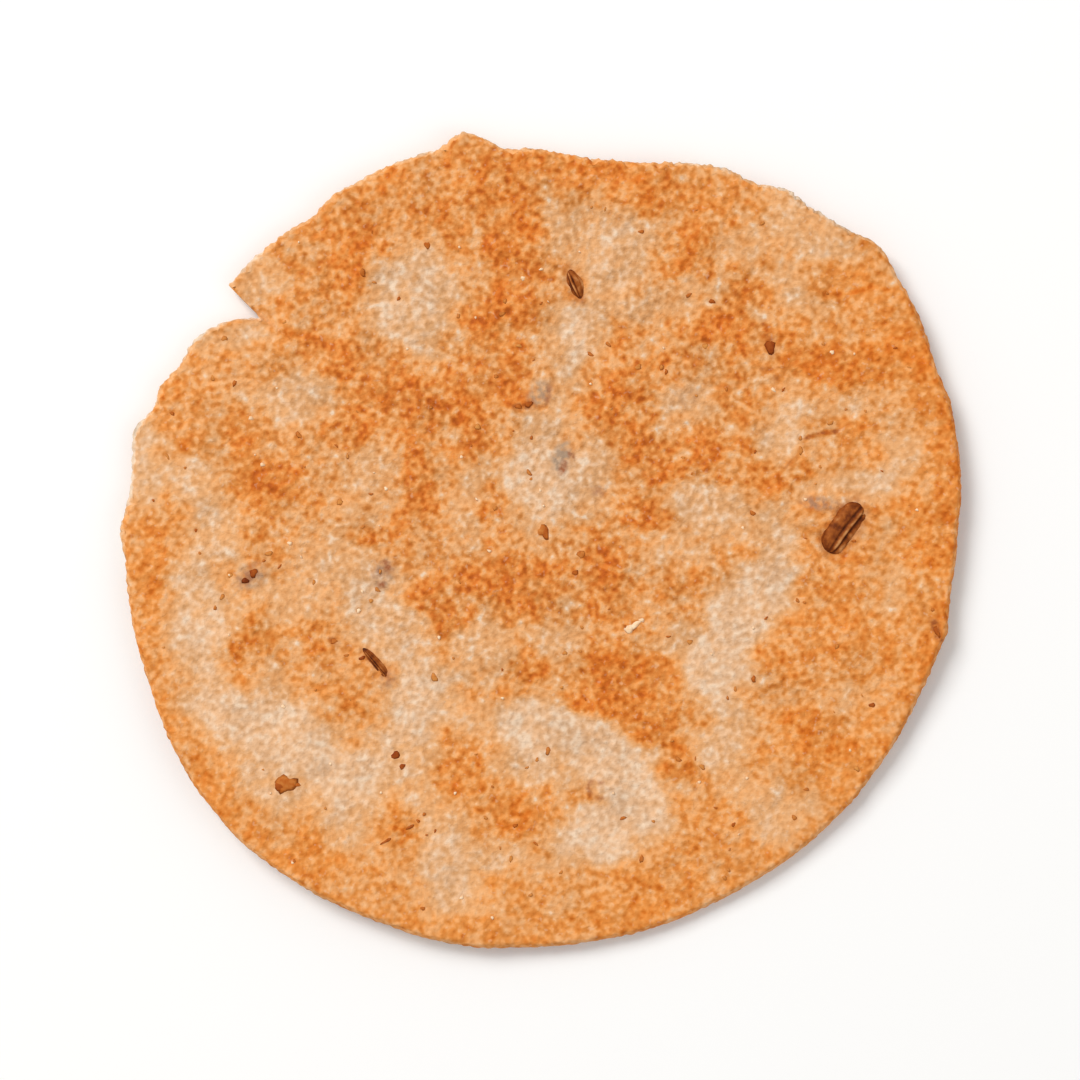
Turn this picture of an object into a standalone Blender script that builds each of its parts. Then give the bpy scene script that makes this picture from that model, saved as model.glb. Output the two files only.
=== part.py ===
"""A mini khakhra: one thin, crisp disc of wholewheat flatbread with cumin, pressed on a griddle until dry.

Units are metres and +Z is up. The khakhra lies on the middle of its underside, which was pressed flat. The
origin is on the surface that it lies on, under the middle of its outline. Seen from above with +Y up, the
torn lip is at the upper left and the corner at the upper right.

The disc starts as a square slab of small blocks. Its corners are drawn in so that the square becomes round,
its outline follows the cutter and the ragged end of the dough sheet, and both faces get their relief.
"""

import bmesh
import bpy
import numpy as np

MM = 0.001

# The dough was rolled thin, cut with a round cutter and pressed while it dried
CUTTER_RADIUS = 37.3 * MM
MIDDLE_THICKNESS = 1.55 * MM
RIM_THICKNESS = 1.2 * MM
RIM_ROUNDING = 0.45 * MM

# The rim curled up a little as it dried: twice round for the bend, three times round for the twist
PRESSED_RADIUS = 14.0 * MM
RIM_LIFT = 1.2 * MM
BEND_SHARE = 0.5
BEND_TOWARDS = np.radians(38.0)
TWIST_SHARE = 0.3
TWIST_TOWARDS = np.radians(105.0)

# The outline, as directions in degrees and reaches in millimetres from the middle of the cutter's circle
OUTLINE_POINTS = (
    (-176.0, 37.40),
    (-168.0, 37.35),
    (-160.0, 37.45),
    (-145.0, 38.08),
    (-135.0, 38.20),  # full lower left
    (-125.0, 37.92),
    (-115.0, 37.55),
    (-100.0, 37.40),
    (-90.0, 36.95),
    (-75.0, 36.75),
    (-60.0, 36.60),  # lower right, cut a little short
    (-48.0, 36.78),
    (-32.0, 36.90),
    (-20.0, 37.10),
    (-16.0, 37.30),
    (-13.5, 37.60),  # nick on the right
    (-11.0, 37.35),
    (-7.0, 37.25),
    (0.0, 37.50),
    (10.0, 38.25),
    (18.0, 38.65),  # full right side
    (24.0, 38.65),
    (30.0, 39.30),
    (36.0, 39.60),  # shoulder before the corner
    (40.5, 40.00),  # corner where the cutter overlapped the last one
    (45.0, 39.05),
    (50.0, 38.42),
    (54.0, 38.15),
    (58.0, 37.42),  # chip past the corner
    (62.0, 37.10),
    (66.0, 36.55),
    (70.0, 35.78),
    (75.0, 34.80),
    (80.0, 34.55),  # end of the dough sheet, top
    (85.0, 34.32),
    (88.0, 34.70),
    (91.0, 34.90),
    (95.0, 35.10),
    (98.0, 36.15),
    (101.0, 36.85),  # small peak on it
    (104.0, 36.25),
    (108.0, 36.05),
    (120.0, 35.90),  # end of the dough sheet, upper left
    (126.0, 35.50),
    (132.0, 35.75),
    (138.0, 36.10),
    (145.0, 36.30),  # past the torn lip, before its step is taken off
    (150.0, 36.60),
    (155.0, 36.48),
    (158.0, 36.80),
    (162.0, 36.95),
    (164.5, 37.65),  # point after the hollow
    (169.0, 37.45),
    (174.0, 37.25),
    (178.5, 37.60),  # point at the far left
)
TORN_LIP_AT = 141.6
TORN_LIP_STEP = 4.6 * MM
TORN_LIP_HEALS = 5.0
TORN_LIP_SLOPE = 1.2

# The sheet's end broke in small crumbs; the rest of the edge was cut clean
RAGGED_FROM = 40.0
RAGGED_TO = 184.0
RAGGED_SOFTNESS = 10.0
RAGGED_DEPTH = 0.10 * MM
CLEAN_DEPTH = 0.03 * MM
RAGGED_WAVES = (23, 31, 38, 49)

# Sunk places that stayed off the griddle and stayed pale: x, y, half length and half width in millimetres,
# turn in degrees
PALE_HOLLOWS = (
    (-11.0, 21.3, 6.2, 4.6, 80.0),
    (3.0, 18.0, 5.4, 2.5, 85.0),
    (5.8, 26.4, 4.8, 3.0, 25.0),
    (1.4, 5.6, 5.2, 4.6, 70.0),
    (-21.8, 12.4, 4.8, 2.4, 8.0),
    (-16.0, 4.6, 4.0, 3.0, 40.0),
    (-34.6, 7.0, 3.6, 2.4, 100.0),
    (-29.8, -5.0, 8.6, 3.0, 95.0),
    (-25.5, -16.2, 6.8, 3.4, -16.0),
    (-17.6, -21.2, 6.0, 4.4, -35.0),
    (-11.2, -13.6, 7.0, 2.8, 80.0),
    (-13.8, -6.6, 3.4, 2.8, 20.0),
    (0.4, -17.4, 6.4, 3.2, -18.0),
    (8.0, -20.6, 4.4, 3.8, -40.0),
    (6.6, -26.0, 5.4, 3.4, 16.0),
    (-8.6, -29.0, 4.6, 3.2, 100.0),
    (17.6, -8.2, 8.2, 3.2, 58.0),
    (16.8, -17.0, 4.2, 3.4, 70.0),
    (21.6, -24.6, 4.0, 2.6, 10.0),
    (15.4, 2.6, 4.8, 2.6, -18.0),
    (22.4, 10.4, 4.6, 3.0, 75.0),
    (30.4, 5.6, 5.0, 2.0, 28.0),
    (23.0, 26.4, 6.6, 2.6, -32.0),
    (-25.2, 22.6, 2.8, 2.2, 30.0),
)
HOLLOW_DEPTH = 0.16 * MM

# Raised places that stood against the griddle and toasted, in the same terms
TOASTED_PATCHES = (
    (7.0, -13.0, 4.2, 3.0, -30.0),
    (11.2, -18.0, 3.4, 1.8, -65.0),
    (-1.6, -3.9, 5.6, 2.6, -4.0),
    (-13.0, 13.2, 6.0, 3.0, -18.0),
    (-5.6, 12.2, 3.4, 3.0, 20.0),
    (-10.9, 4.4, 3.2, 2.0, 80.0),
    (-2.6, 25.0, 6.2, 2.8, 88.0),
    (-4.2, 19.2, 3.0, 2.6, 0.0),
    (16.0, 19.0, 4.0, 1.8, 22.0),
    (27.4, 15.8, 7.8, 1.9, -6.0),
    (6.8, 12.0, 4.0, 2.3, 68.0),
    (13.4, 8.2, 3.6, 1.7, 32.0),
    (-24.6, 5.8, 3.2, 2.4, -30.0),
    (-17.2, 26.4, 3.6, 2.2, 65.0),
    (6.2, -3.0, 4.2, 2.0, 82.0),
    (-7.6, -21.4, 4.0, 2.8, 95.0),
    (-2.0, -25.0, 3.6, 1.8, -8.0),
    (-17.4, -13.0, 4.4, 1.8, -62.0),
    (-26.4, -9.8, 2.8, 2.1, 80.0),
    (-20.4, -9.0, 3.0, 1.7, -35.0),
    (25.8, -18.4, 5.6, 3.2, -12.0),
    (34.2, 1.2, 5.2, 2.0, 85.0),
    (34.6, -9.4, 3.8, 1.8, 70.0),
    (-25.0, -27.0, 5.6, 2.6, -44.0),
    (6.0, 31.6, 8.6, 1.9, -4.0),
    (-21.6, 17.4, 3.6, 1.8, -20.0),
)
PATCH_HEIGHT = 0.12 * MM

# Steam blisters, scattered by a seeded draw
BLISTER_SEED = 21
BLISTER_TRIES = 900
BLISTER_RADII = (1.5 * MM, 3.4 * MM)
BLISTER_HEIGHTS = (0.08 * MM, 0.24 * MM)
BLISTER_FREE_RIM = 6.0 * MM

# Steam hollows in the underside, which the pressed middle has none of
UNDERSIDE_SEED = 34
FLAT_MIDDLE_RADIUS = 9.0 * MM
FLAT_MIDDLE_ENDS = 4.0 * MM

# Slow waves left by the rolling pin
WAVE_SEED = 5
WAVE_LENGTHS = (7.0 * MM, 15.0 * MM)
WAVE_HEIGHT = 0.045 * MM
WAVE_COUNT = 24

# Cumin and larger flecks pressed into the top: x, y, length and width in millimetres, turn in degrees
SEEDS = (
    ("cumin_whole", 27.4, 0.8, 5.8, 2.4, 52.0),
    ("cumin_narrow", -14.8, -11.6, 4.2, 1.2, -50.0),
    ("cumin_small", 3.1, 22.6, 3.2, 1.5, -57.0),
    ("bran_fleck", -22.7, -22.3, 2.4, 1.4, -10.0),
    ("dough_crumb", 8.3, -8.0, 2.2, 1.2, 28.0),
)
SEED_FLATNESS = 0.7
SEED_TAPER = 0.15
SEED_SIDES = 6
SEED_RINGS = 4

# The mesh: blocks along each side of the square sheet, cuts round the rim, and the power of the distance from
# the middle by which the outline's own shape fades in
SLAB_BLOCKS = 44
RIM_CUTS = 2
OUTLINE_FADE = 4

# Colour, as linear red, green and blue, and roughness
CRUST_COLOUR = (0.77, 0.347, 0.127, 1.0)
CRUST_ROUGHNESS = 0.8
SEED_COLOUR = (0.25, 0.09, 0.024, 1.0)
SEED_ROUGHNESS = 0.65


def clear_scene():
    for thing in list(bpy.data.objects):
        bpy.data.objects.remove(thing)


def make_material(name, colour, roughness):
    """A plain food finish: no metal, one colour, one roughness."""
    material = bpy.data.materials.new(name)
    material.use_nodes = True
    shader = material.node_tree.nodes["Principled BSDF"]
    shader.inputs["Base Color"].default_value = colour
    shader.inputs["Roughness"].default_value = roughness
    shader.inputs["Metallic"].default_value = 0.0
    return material


def ease(value):
    """A smooth step: 0 below 0, 1 above 1, with level ends."""
    share = np.clip(value, 0.0, 1.0)
    return share * share * (3.0 - 2.0 * share)


def turn_from(angle, direction):
    """The signed turn from a direction in degrees to each angle in radians, from -180 to 180 degrees."""
    return (np.degrees(angle) - direction + 180.0) % 360.0 - 180.0


def ragged_share(angle):
    """1 along the ragged end of the sheet, 0 where the cutter went right through, soft between."""
    middle = (RAGGED_FROM + RAGGED_TO) / 2.0
    half = (RAGGED_TO - RAGGED_FROM) / 2.0
    return ease((half - np.abs(turn_from(angle, middle))) / RAGGED_SOFTNESS + 0.5)


def outline_curve(angle):
    """A smooth curve through the outline's points. Between two points it is a cubic, and at a point its slope is
    that of the parabola through the point and its neighbours."""
    directions, reaches = np.array(OUTLINE_POINTS).T
    places = np.concatenate([directions - 360.0, directions, directions + 360.0])
    levels = np.tile(reaches, 3)
    slopes = np.gradient(levels, places)
    place = turn_from(angle, 0.0)
    after = np.searchsorted(places, place, side="right")
    before = after - 1
    gap = places[after] - places[before]
    share = (place - places[before]) / gap
    straight = levels[before] + (levels[after] - levels[before]) * ease(share)
    bow = slopes[before] * (1.0 - share) - slopes[after] * share
    return (straight + gap * share * (1.0 - share) * bow) * MM


def outline_radius(angle):
    """The curve through the outline's points, the torn lip's step and fine raggedness."""
    radius = outline_curve(angle)
    past_lip = turn_from(angle, TORN_LIP_AT)
    healing = np.exp(-np.maximum(past_lip, 0.0) / TORN_LIP_HEALS)
    radius -= TORN_LIP_STEP * ease(past_lip / TORN_LIP_SLOPE + 0.5) * healing
    depth = CLEAN_DEPTH + (RAGGED_DEPTH - CLEAN_DEPTH) * ragged_share(angle)
    for count in RAGGED_WAVES:
        radius += depth * np.cos(count * angle + 0.7 * count) / np.sqrt(len(RAGGED_WAVES))
    return radius


def outline_middle():
    """The middle of the box round the outline, which is set over the origin."""
    angle = np.radians(np.arange(-180.0, 180.0, 0.25))
    x = outline_radius(angle) * np.cos(angle)
    y = outline_radius(angle) * np.sin(angle)
    return (x.min() + x.max()) / 2.0, (y.min() + y.max()) / 2.0


def round_from_square(across, along):
    """The concentric map from square to disc, ring by ring. Gives the share of the radius, and the angle."""
    sideways = np.abs(across) >= np.abs(along)
    ring = np.where(sideways, across, along)
    whole = np.where(ring == 0.0, 1.0, ring)
    turn = np.where(sideways, along / whole, 2.0 - across / whole) * np.pi / 4.0
    return np.abs(ring), np.where(ring < 0.0, turn + np.pi, turn)


def rim_curl(x, y):
    """Height of the underside: nothing in the pressed middle, then rising with the square of the way out."""
    angle = np.arctan2(y, x)
    out = (np.hypot(x, y) - PRESSED_RADIUS) / (CUTTER_RADIUS - PRESSED_RADIUS)
    bend = BEND_SHARE * np.cos(2.0 * (angle - BEND_TOWARDS))
    twist = TWIST_SHARE * np.cos(3.0 * (angle - TWIST_TOWARDS))
    return RIM_LIFT * np.maximum(out, 0.0) ** 2 * (1.0 + bend + twist)


def thickness(x, y):
    """Thickest in the middle and thinner only near the rim, as a rolled disc is."""
    share = np.hypot(x, y) / CUTTER_RADIUS
    return MIDDLE_THICKNESS - (MIDDLE_THICKNESS - RIM_THICKNESS) * share**4


def patch_cover(x, y, patches):
    """How much the patches cover each place: each is an ellipse, full in its middle and soft at its edge."""
    cover = np.zeros_like(x)
    for middle_x, middle_y, half_length, half_width, turn in patches:
        east, north = x - middle_x * MM, y - middle_y * MM
        cosine, sine = np.cos(np.radians(turn)), np.sin(np.radians(turn))
        along = (east * cosine + north * sine) / (half_length * MM)
        across = (north * cosine - east * sine) / (half_width * MM)
        cover = np.maximum(cover, ease((1.2 - np.hypot(along, across)) / 0.7))
    return cover


def scatter_blisters(seed):
    """Blisters as (x, y, radius, height), drawn one by one and kept only where they meet none kept before."""
    draw = np.random.default_rng(seed)
    kept = []
    for _ in range(BLISTER_TRIES):
        reach = (CUTTER_RADIUS - BLISTER_FREE_RIM) * np.sqrt(draw.random())
        angle = 2.0 * np.pi * draw.random()
        radius = BLISTER_RADII[0] + (BLISTER_RADII[1] - BLISTER_RADII[0]) * draw.random() ** 2
        height = BLISTER_HEIGHTS[0] + (BLISTER_HEIGHTS[1] - BLISTER_HEIGHTS[0]) * draw.random()
        x, y = reach * np.cos(angle), reach * np.sin(angle)
        if all(np.hypot(x - other[0], y - other[1]) > radius + other[2] for other in kept):
            kept.append((x, y, radius, height))
    return kept


def blister_height(x, y, blisters):
    """The sum of low round domes, each a smooth step from its rim to its flat top."""
    height = np.zeros_like(x)
    for middle_x, middle_y, radius, rise in blisters:
        height += rise * ease((1.0 - np.hypot(x - middle_x, y - middle_y) / radius) / 0.75)
    return height


def slow_waves(x, y):
    """Gentle unevenness: many flat waves of seeded direction, length and phase, added together."""
    draw = np.random.default_rng(WAVE_SEED)
    height = np.zeros_like(x)
    for _ in range(WAVE_COUNT):
        heading = 2.0 * np.pi * draw.random()
        length = WAVE_LENGTHS[0] + (WAVE_LENGTHS[1] - WAVE_LENGTHS[0]) * draw.random()
        phase = 2.0 * np.pi * draw.random()
        travel = x * np.cos(heading) + y * np.sin(heading)
        height += np.cos(2.0 * np.pi * travel / length + phase)
    return WAVE_HEIGHT * height / np.sqrt(WAVE_COUNT / 2.0)


def underside_height(x, y, hollows):
    """The rim's curl, with shallow hollows pressed up into it outside the flat middle."""
    off_middle = ease((np.hypot(x, y) - FLAT_MIDDLE_RADIUS) / FLAT_MIDDLE_ENDS)
    return rim_curl(x, y) + blister_height(x, y, hollows) * off_middle


def top_height(x, y, blisters):
    """The curl and the thickness, then toasted patches, hollows, blisters and waves."""
    relief = PATCH_HEIGHT * patch_cover(x, y, TOASTED_PATCHES)
    relief -= HOLLOW_DEPTH * patch_cover(x, y, PALE_HOLLOWS)
    relief += blister_height(x, y, blisters)
    return rim_curl(x, y) + thickness(x, y) + relief + slow_waves(x, y)


def shape_slab(slab):
    """Moves every corner of the slab, known by across and along (-1 to 1) and up (0 to 1), to its place."""
    across, along, up = np.array([vertex.co for vertex in slab.verts]).T
    ring, angle = round_from_square(across, along)
    edge = outline_radius(angle) - RIM_ROUNDING
    reach = ring * CUTTER_RADIUS + ring**OUTLINE_FADE * (edge - CUTTER_RADIUS)
    x, y = reach * np.cos(angle), reach * np.sin(angle)
    low = underside_height(x, y, scatter_blisters(UNDERSIDE_SEED))
    high = top_height(x, y, scatter_blisters(BLISTER_SEED))
    bulge = RIM_ROUNDING * np.sin(np.pi * up)
    middle_x, middle_y = outline_middle()
    x += bulge * np.cos(angle) - middle_x
    y += bulge * np.sin(angle) - middle_y
    for vertex, place in zip(slab.verts, zip(x, y, low + (high - low) * up)):
        vertex.co = place


def make_disc(finish):
    """A square sheet of blocks, extruded to a slab, cut in rows round its sides, shaped and triangulated."""
    slab = bmesh.new()
    bmesh.ops.create_grid(slab, x_segments=SLAB_BLOCKS, y_segments=SLAB_BLOCKS, size=1.0)
    raised = bmesh.ops.extrude_face_region(slab, geom=slab.faces[:])["geom"]
    corners = [item for item in raised if isinstance(item, bmesh.types.BMVert)]
    bmesh.ops.translate(slab, verts=corners, vec=(0.0, 0.0, 1.0))
    upright = [edge for edge in slab.edges if edge.verts[0].co.z != edge.verts[1].co.z]
    bmesh.ops.subdivide_edges(slab, edges=upright, cuts=RIM_CUTS)
    shape_slab(slab)
    bmesh.ops.triangulate(slab, faces=slab.faces[:], quad_method="SHORT_EDGE")
    bmesh.ops.recalc_face_normals(slab, faces=slab.faces[:])
    mesh = bpy.data.meshes.new("khakhra")
    slab.to_mesh(mesh)
    slab.free()
    mesh.materials.append(finish)
    mesh.shade_smooth()
    disc = bpy.data.objects.new("khakhra", mesh)
    bpy.context.scene.collection.objects.link(disc)
    return disc


def make_seed(name, x, y, length, width, turn, finish, collection):
    """One seed: a ball drawn out to a flat spindle, lying along its turn, its lower half sunk in the crust."""
    spindle = bmesh.new()
    bmesh.ops.create_uvsphere(spindle, u_segments=SEED_SIDES, v_segments=SEED_RINGS, radius=0.5)
    for vertex in spindle.verts:
        along, side, rise = vertex.co.z, vertex.co.y, vertex.co.x
        girth = width * MM * (1.0 - SEED_TAPER * 2.0 * along)
        vertex.co = (along * length * MM, side * girth, rise * girth * SEED_FLATNESS)
    bmesh.ops.recalc_face_normals(spindle, faces=spindle.faces[:])
    mesh = bpy.data.meshes.new(name)
    spindle.to_mesh(mesh)
    spindle.free()
    mesh.materials.append(finish)
    mesh.shade_smooth()
    place_x, place_y = np.array([x * MM]), np.array([y * MM])
    surface = top_height(place_x, place_y, scatter_blisters(BLISTER_SEED))[0]
    middle_x, middle_y = outline_middle()
    seed = bpy.data.objects.new(name, mesh)
    seed.location = (x * MM - middle_x, y * MM - middle_y, surface)
    seed.rotation_euler = (0.0, 0.0, np.radians(turn))
    collection.objects.link(seed)


def fuse(disc, collection):
    """Joins the seeds to the disc as one solid, then removes the loose seeds."""
    join = disc.modifiers.new("fused seeds", "BOOLEAN")
    join.operation = "UNION"
    join.solver = "EXACT"
    join.operand_type = "COLLECTION"
    join.collection = collection
    bpy.context.view_layer.update()
    fused = disc.evaluated_get(bpy.context.evaluated_depsgraph_get())
    mesh = bpy.data.meshes.new_from_object(fused)
    disc.modifiers.clear()
    disc.data = mesh
    for seed in list(collection.objects):
        bpy.data.objects.remove(seed)
    bpy.data.collections.remove(collection)


def main():
    clear_scene()
    disc = make_disc(make_material("roasted_crust", CRUST_COLOUR, CRUST_ROUGHNESS))
    seed_finish = make_material("cumin_seed", SEED_COLOUR, SEED_ROUGHNESS)
    seeds = bpy.data.collections.new("seeds")
    bpy.context.scene.collection.children.link(seeds)
    for name, x, y, length, width, turn in SEEDS:
        make_seed(name, x, y, length, width, turn, seed_finish, seeds)
    fuse(disc, seeds)


main()
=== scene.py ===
"""A mini khakhra: one thin, crisp disc of wholewheat flatbread with cumin, roasted dry on a griddle.

Units are metres and +Z is up. The khakhra lies on the flat middle of its underside. Its big form is the
same as the solid's: the outline with the torn lip at the upper left, the rolled thickness, the curl of the
rim and the steam blisters. The scene adds the dough's fine relief, the toasting, the seeds and the bran.

The tables of places are in millimetres from the middle of the cutter's circle, with turns in degrees.
Every finished point is then shifted so that the middle of the outline's box is over the origin.
"""

import bpy
import numpy as np
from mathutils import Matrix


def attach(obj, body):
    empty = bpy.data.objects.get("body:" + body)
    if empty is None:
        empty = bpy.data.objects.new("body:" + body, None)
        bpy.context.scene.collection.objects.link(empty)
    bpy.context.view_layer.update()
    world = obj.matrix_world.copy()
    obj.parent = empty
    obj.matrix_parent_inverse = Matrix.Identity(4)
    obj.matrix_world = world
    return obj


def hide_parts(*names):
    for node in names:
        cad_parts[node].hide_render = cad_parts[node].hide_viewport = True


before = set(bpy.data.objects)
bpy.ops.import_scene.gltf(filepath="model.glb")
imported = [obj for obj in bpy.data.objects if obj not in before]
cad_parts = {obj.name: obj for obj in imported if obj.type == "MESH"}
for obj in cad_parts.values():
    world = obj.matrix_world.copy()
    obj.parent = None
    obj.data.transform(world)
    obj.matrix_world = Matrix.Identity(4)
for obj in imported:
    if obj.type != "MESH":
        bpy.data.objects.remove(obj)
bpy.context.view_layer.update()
MM = 0.001

# Form, as in the solid
CUTTER_RADIUS = 37.3 * MM
MIDDLE_THICKNESS = 1.55 * MM
RIM_THICKNESS = 1.2 * MM
RIM_ROUNDING = 0.45 * MM
PRESSED_RADIUS = 14.0 * MM
RIM_LIFT = 1.2 * MM
BEND_SHARE = 0.5
BEND_TOWARDS = np.radians(38.0)
TWIST_SHARE = 0.3
TWIST_TOWARDS = np.radians(105.0)

# The outline, as directions in degrees and reaches in millimetres from the middle of the cutter's circle
OUTLINE_POINTS = (
    (-176.0, 37.40),
    (-168.0, 37.35),
    (-160.0, 37.45),
    (-145.0, 38.08),
    (-135.0, 38.20),  # full lower left
    (-125.0, 37.92),
    (-115.0, 37.55),
    (-100.0, 37.40),
    (-90.0, 36.95),
    (-75.0, 36.75),
    (-60.0, 36.60),  # lower right, cut a little short
    (-48.0, 36.78),
    (-32.0, 36.90),
    (-20.0, 37.10),
    (-16.0, 37.30),
    (-13.5, 37.60),  # nick on the right
    (-11.0, 37.35),
    (-7.0, 37.25),
    (0.0, 37.50),
    (10.0, 38.25),
    (18.0, 38.65),  # full right side
    (24.0, 38.65),
    (30.0, 39.30),
    (36.0, 39.60),  # shoulder before the corner
    (40.5, 40.00),  # corner where the cutter overlapped the last one
    (45.0, 39.05),
    (50.0, 38.42),
    (54.0, 38.15),
    (58.0, 37.42),  # chip past the corner
    (62.0, 37.10),
    (66.0, 36.55),
    (70.0, 35.78),
    (75.0, 34.80),
    (80.0, 34.55),  # end of the dough sheet, top
    (85.0, 34.32),
    (88.0, 34.70),
    (91.0, 34.90),
    (95.0, 35.10),
    (98.0, 36.15),
    (101.0, 36.85),  # small peak on it
    (104.0, 36.25),
    (108.0, 36.05),
    (120.0, 35.90),  # end of the dough sheet, upper left
    (126.0, 35.50),
    (132.0, 35.75),
    (138.0, 36.10),
    (145.0, 36.30),  # past the torn lip, before its step is taken off
    (150.0, 36.60),
    (155.0, 36.48),
    (158.0, 36.80),
    (162.0, 36.95),
    (164.5, 37.65),  # point after the hollow
    (169.0, 37.45),
    (174.0, 37.25),
    (178.5, 37.60),  # point at the far left
)
TORN_LIP_AT = 141.6
TORN_LIP_STEP = 4.6 * MM
TORN_LIP_HEALS = 5.0
TORN_LIP_SLOPE = 1.2
RAGGED_FROM = 40.0
RAGGED_TO = 184.0
RAGGED_SOFTNESS = 10.0
RAGGED_DEPTH = 0.10 * MM
CLEAN_DEPTH = 0.03 * MM
RAGGED_WAVES = (23, 31, 38, 49)

# Steam blisters, the flat middle of the underside, and the rolling pin's slow waves. Waves are given here
# and below by the shortest, the longest, how many and their seed
BLISTER_SEED = 21
UNDERSIDE_SEED = 34
BLISTER_TRIES = 900
BLISTER_RADII = (1.5 * MM, 3.4 * MM)
BLISTER_HEIGHTS = (0.08 * MM, 0.24 * MM)
BLISTER_FREE_RIM = 6.0 * MM
FLAT_MIDDLE_RADIUS = 9.0 * MM
FLAT_MIDDLE_ENDS = 4.0 * MM
ROLLING_WAVES = (7.0 * MM, 15.0 * MM, 24, 5)
ROLLING_HEIGHT = 0.045 * MM

# Places that stayed off the griddle and stayed pale: x, y, half length, half width, turn, strength
PALE_PLACES = (
    (-11.4, 20.8, 6.0, 4.0, 80, 0.85),
    (3.0, 17.8, 3.8, 2.1, 88, 0.92),
    (7.0, 25.0, 4.2, 2.8, 58, 0.70),
    (3.0, 27.2, 3.7, 2.4, 0, 0.54),
    (7.2, 20.8, 2.6, 1.3, -10, 0.42),
    (12.0, 21.4, 3.2, 1.5, 15, 0.42),
    (-0.6, 5.4, 5.0, 2.9, 86, 0.90),
    (3.2, 4.7, 3.8, 2.8, 60, 0.80),
    (1.8, 11.6, 3.0, 1.8, 100, 0.48),
    (-21.4, 12.0, 3.1, 2.5, 8, 0.74),
    (-25.6, 12.8, 1.8, 1.6, 0, 0.45),
    (-15.4, 4.8, 3.8, 2.8, 66, 0.48),
    (-35.8, 7.0, 4.4, 1.7, 94, 0.82),
    (-31.2, 4.8, 3.6, 2.0, -40, 0.70),
    (-28.8, 0.6, 3.3, 2.0, -66, 0.66),
    (-30.7, -7.2, 6.8, 2.8, 90, 0.84),
    (-28.2, -7.6, 2.0, 2.8, 0, 0.32),
    (-28.4, -14.9, 3.4, 2.4, -50, 0.80),
    (-24.6, -16.6, 5.8, 2.9, -2, 0.94),
    (-24.0, -21.4, 2.8, 3.0, 30, 0.85),
    (-18.0, -20.6, 5.2, 4.1, -18, 0.96),
    (-17.6, -26.2, 3.0, 1.8, 44, 0.70),
    (-11.3, -15.2, 5.4, 2.9, 82, 0.92),
    (-7.4, -15.8, 2.4, 1.8, 0, 0.60),
    (-13.9, -7.0, 4.3, 3.0, -62, 0.78),
    (-20.6, -5.2, 5.6, 2.2, 4, 0.55),
    (-18.8, -1.4, 4.8, 2.0, -16, 0.54),
    (-24.4, -12.8, 3.0, 1.6, -70, 0.60),
    (0.0, -17.2, 4.8, 3.0, -8, 0.98),
    (-0.8, -21.2, 3.0, 1.7, 0, 0.72),
    (6.4, -20.2, 5.0, 2.9, -30, 0.97),
    (8.8, -23.4, 4.0, 2.6, -68, 1.0),
    (5.6, -26.6, 4.5, 2.6, 16, 1.0),
    (-3.0, -28.8, 3.8, 1.5, -4, 0.62),
    (-8.2, -28.8, 4.0, 2.3, 96, 0.80),
    (-7.6, -32.6, 3.2, 1.6, 0, 0.52),
    (18.9, -5.9, 4.8, 3.0, 54, 0.92),
    (16.0, -10.6, 4.5, 2.9, 66, 0.97),
    (12.4, -9.0, 2.4, 1.8, 20, 0.52),
    (17.0, -15.8, 3.4, 2.2, 86, 0.80),
    (14.2, -18.4, 1.8, 1.5, 0, 0.60),
    (21.6, -0.8, 3.6, 2.0, 92, 0.80),
    (15.3, 2.2, 4.5, 2.1, -14, 0.76),
    (12.2, -1.0, 3.0, 1.5, -16, 0.50),
    (21.4, -24.6, 3.2, 2.4, 10, 0.66),
    (16.9, -20.8, 3.4, 1.9, -60, 0.54),
    (18.8, -26.0, 3.0, 1.2, 0, 0.38),
    (22.2, 10.0, 3.2, 2.2, 80, 0.78),
    (26.6, 12.0, 2.8, 1.5, -6, 0.44),
    (24.6, 4.6, 2.8, 1.2, 30, 0.50),
    (28.4, 4.9, 2.6, 1.5, 10, 0.72),
    (31.6, 6.2, 3.2, 1.9, 50, 0.64),
    (23.8, 27.2, 5.0, 2.4, -34, 0.64),
    (18.2, 26.4, 2.8, 1.6, 0, 0.50),
    (22.4, 23.0, 2.2, 1.8, 0, 0.50),
    (24.0, 20.2, 2.4, 1.4, -40, 0.36),
    (13.2, 12.2, 2.8, 2.0, 0, 0.56),
    (-25.2, 23.0, 2.3, 1.8, 90, 0.50),
    (-28.2, 17.7, 4.2, 1.7, 6, 0.54),
    (30.8, -4.8, 3.0, 1.7, 84, 0.50),
    (27.0, -14.6, 3.4, 1.4, 10, 0.30),
    (-4.8, -9.6, 3.4, 1.8, 0, 0.58),
    (-5.4, -12.2, 3.4, 1.3, 0, 0.40),
    (1.8, -9.2, 2.8, 1.8, 0, 0.55),
    (-6.6, 3.2, 4.0, 1.6, 88, 0.42),
    (-10.6, -23.4, 1.5, 2.8, 0, 0.62),
    (4.2, 24.0, 1.8, 1.6, 0, 0.30),
    (14.0, 20.0, 1.8, 1.0, 0, 0.30),
    (5.2, 16.4, 1.9, 1.4, 60, 0.58),
    (32.8, 21.2, 2.2, 1.6, 60, 0.25),
    (-12.0, -30.0, 1.8, 1.4, 0, 0.22),
    (-8.6, -11.8, 1.8, 1.4, 0, 0.35),
    (-16.4, -9.6, 1.6, 1.2, 0, 0.30),
)

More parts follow.
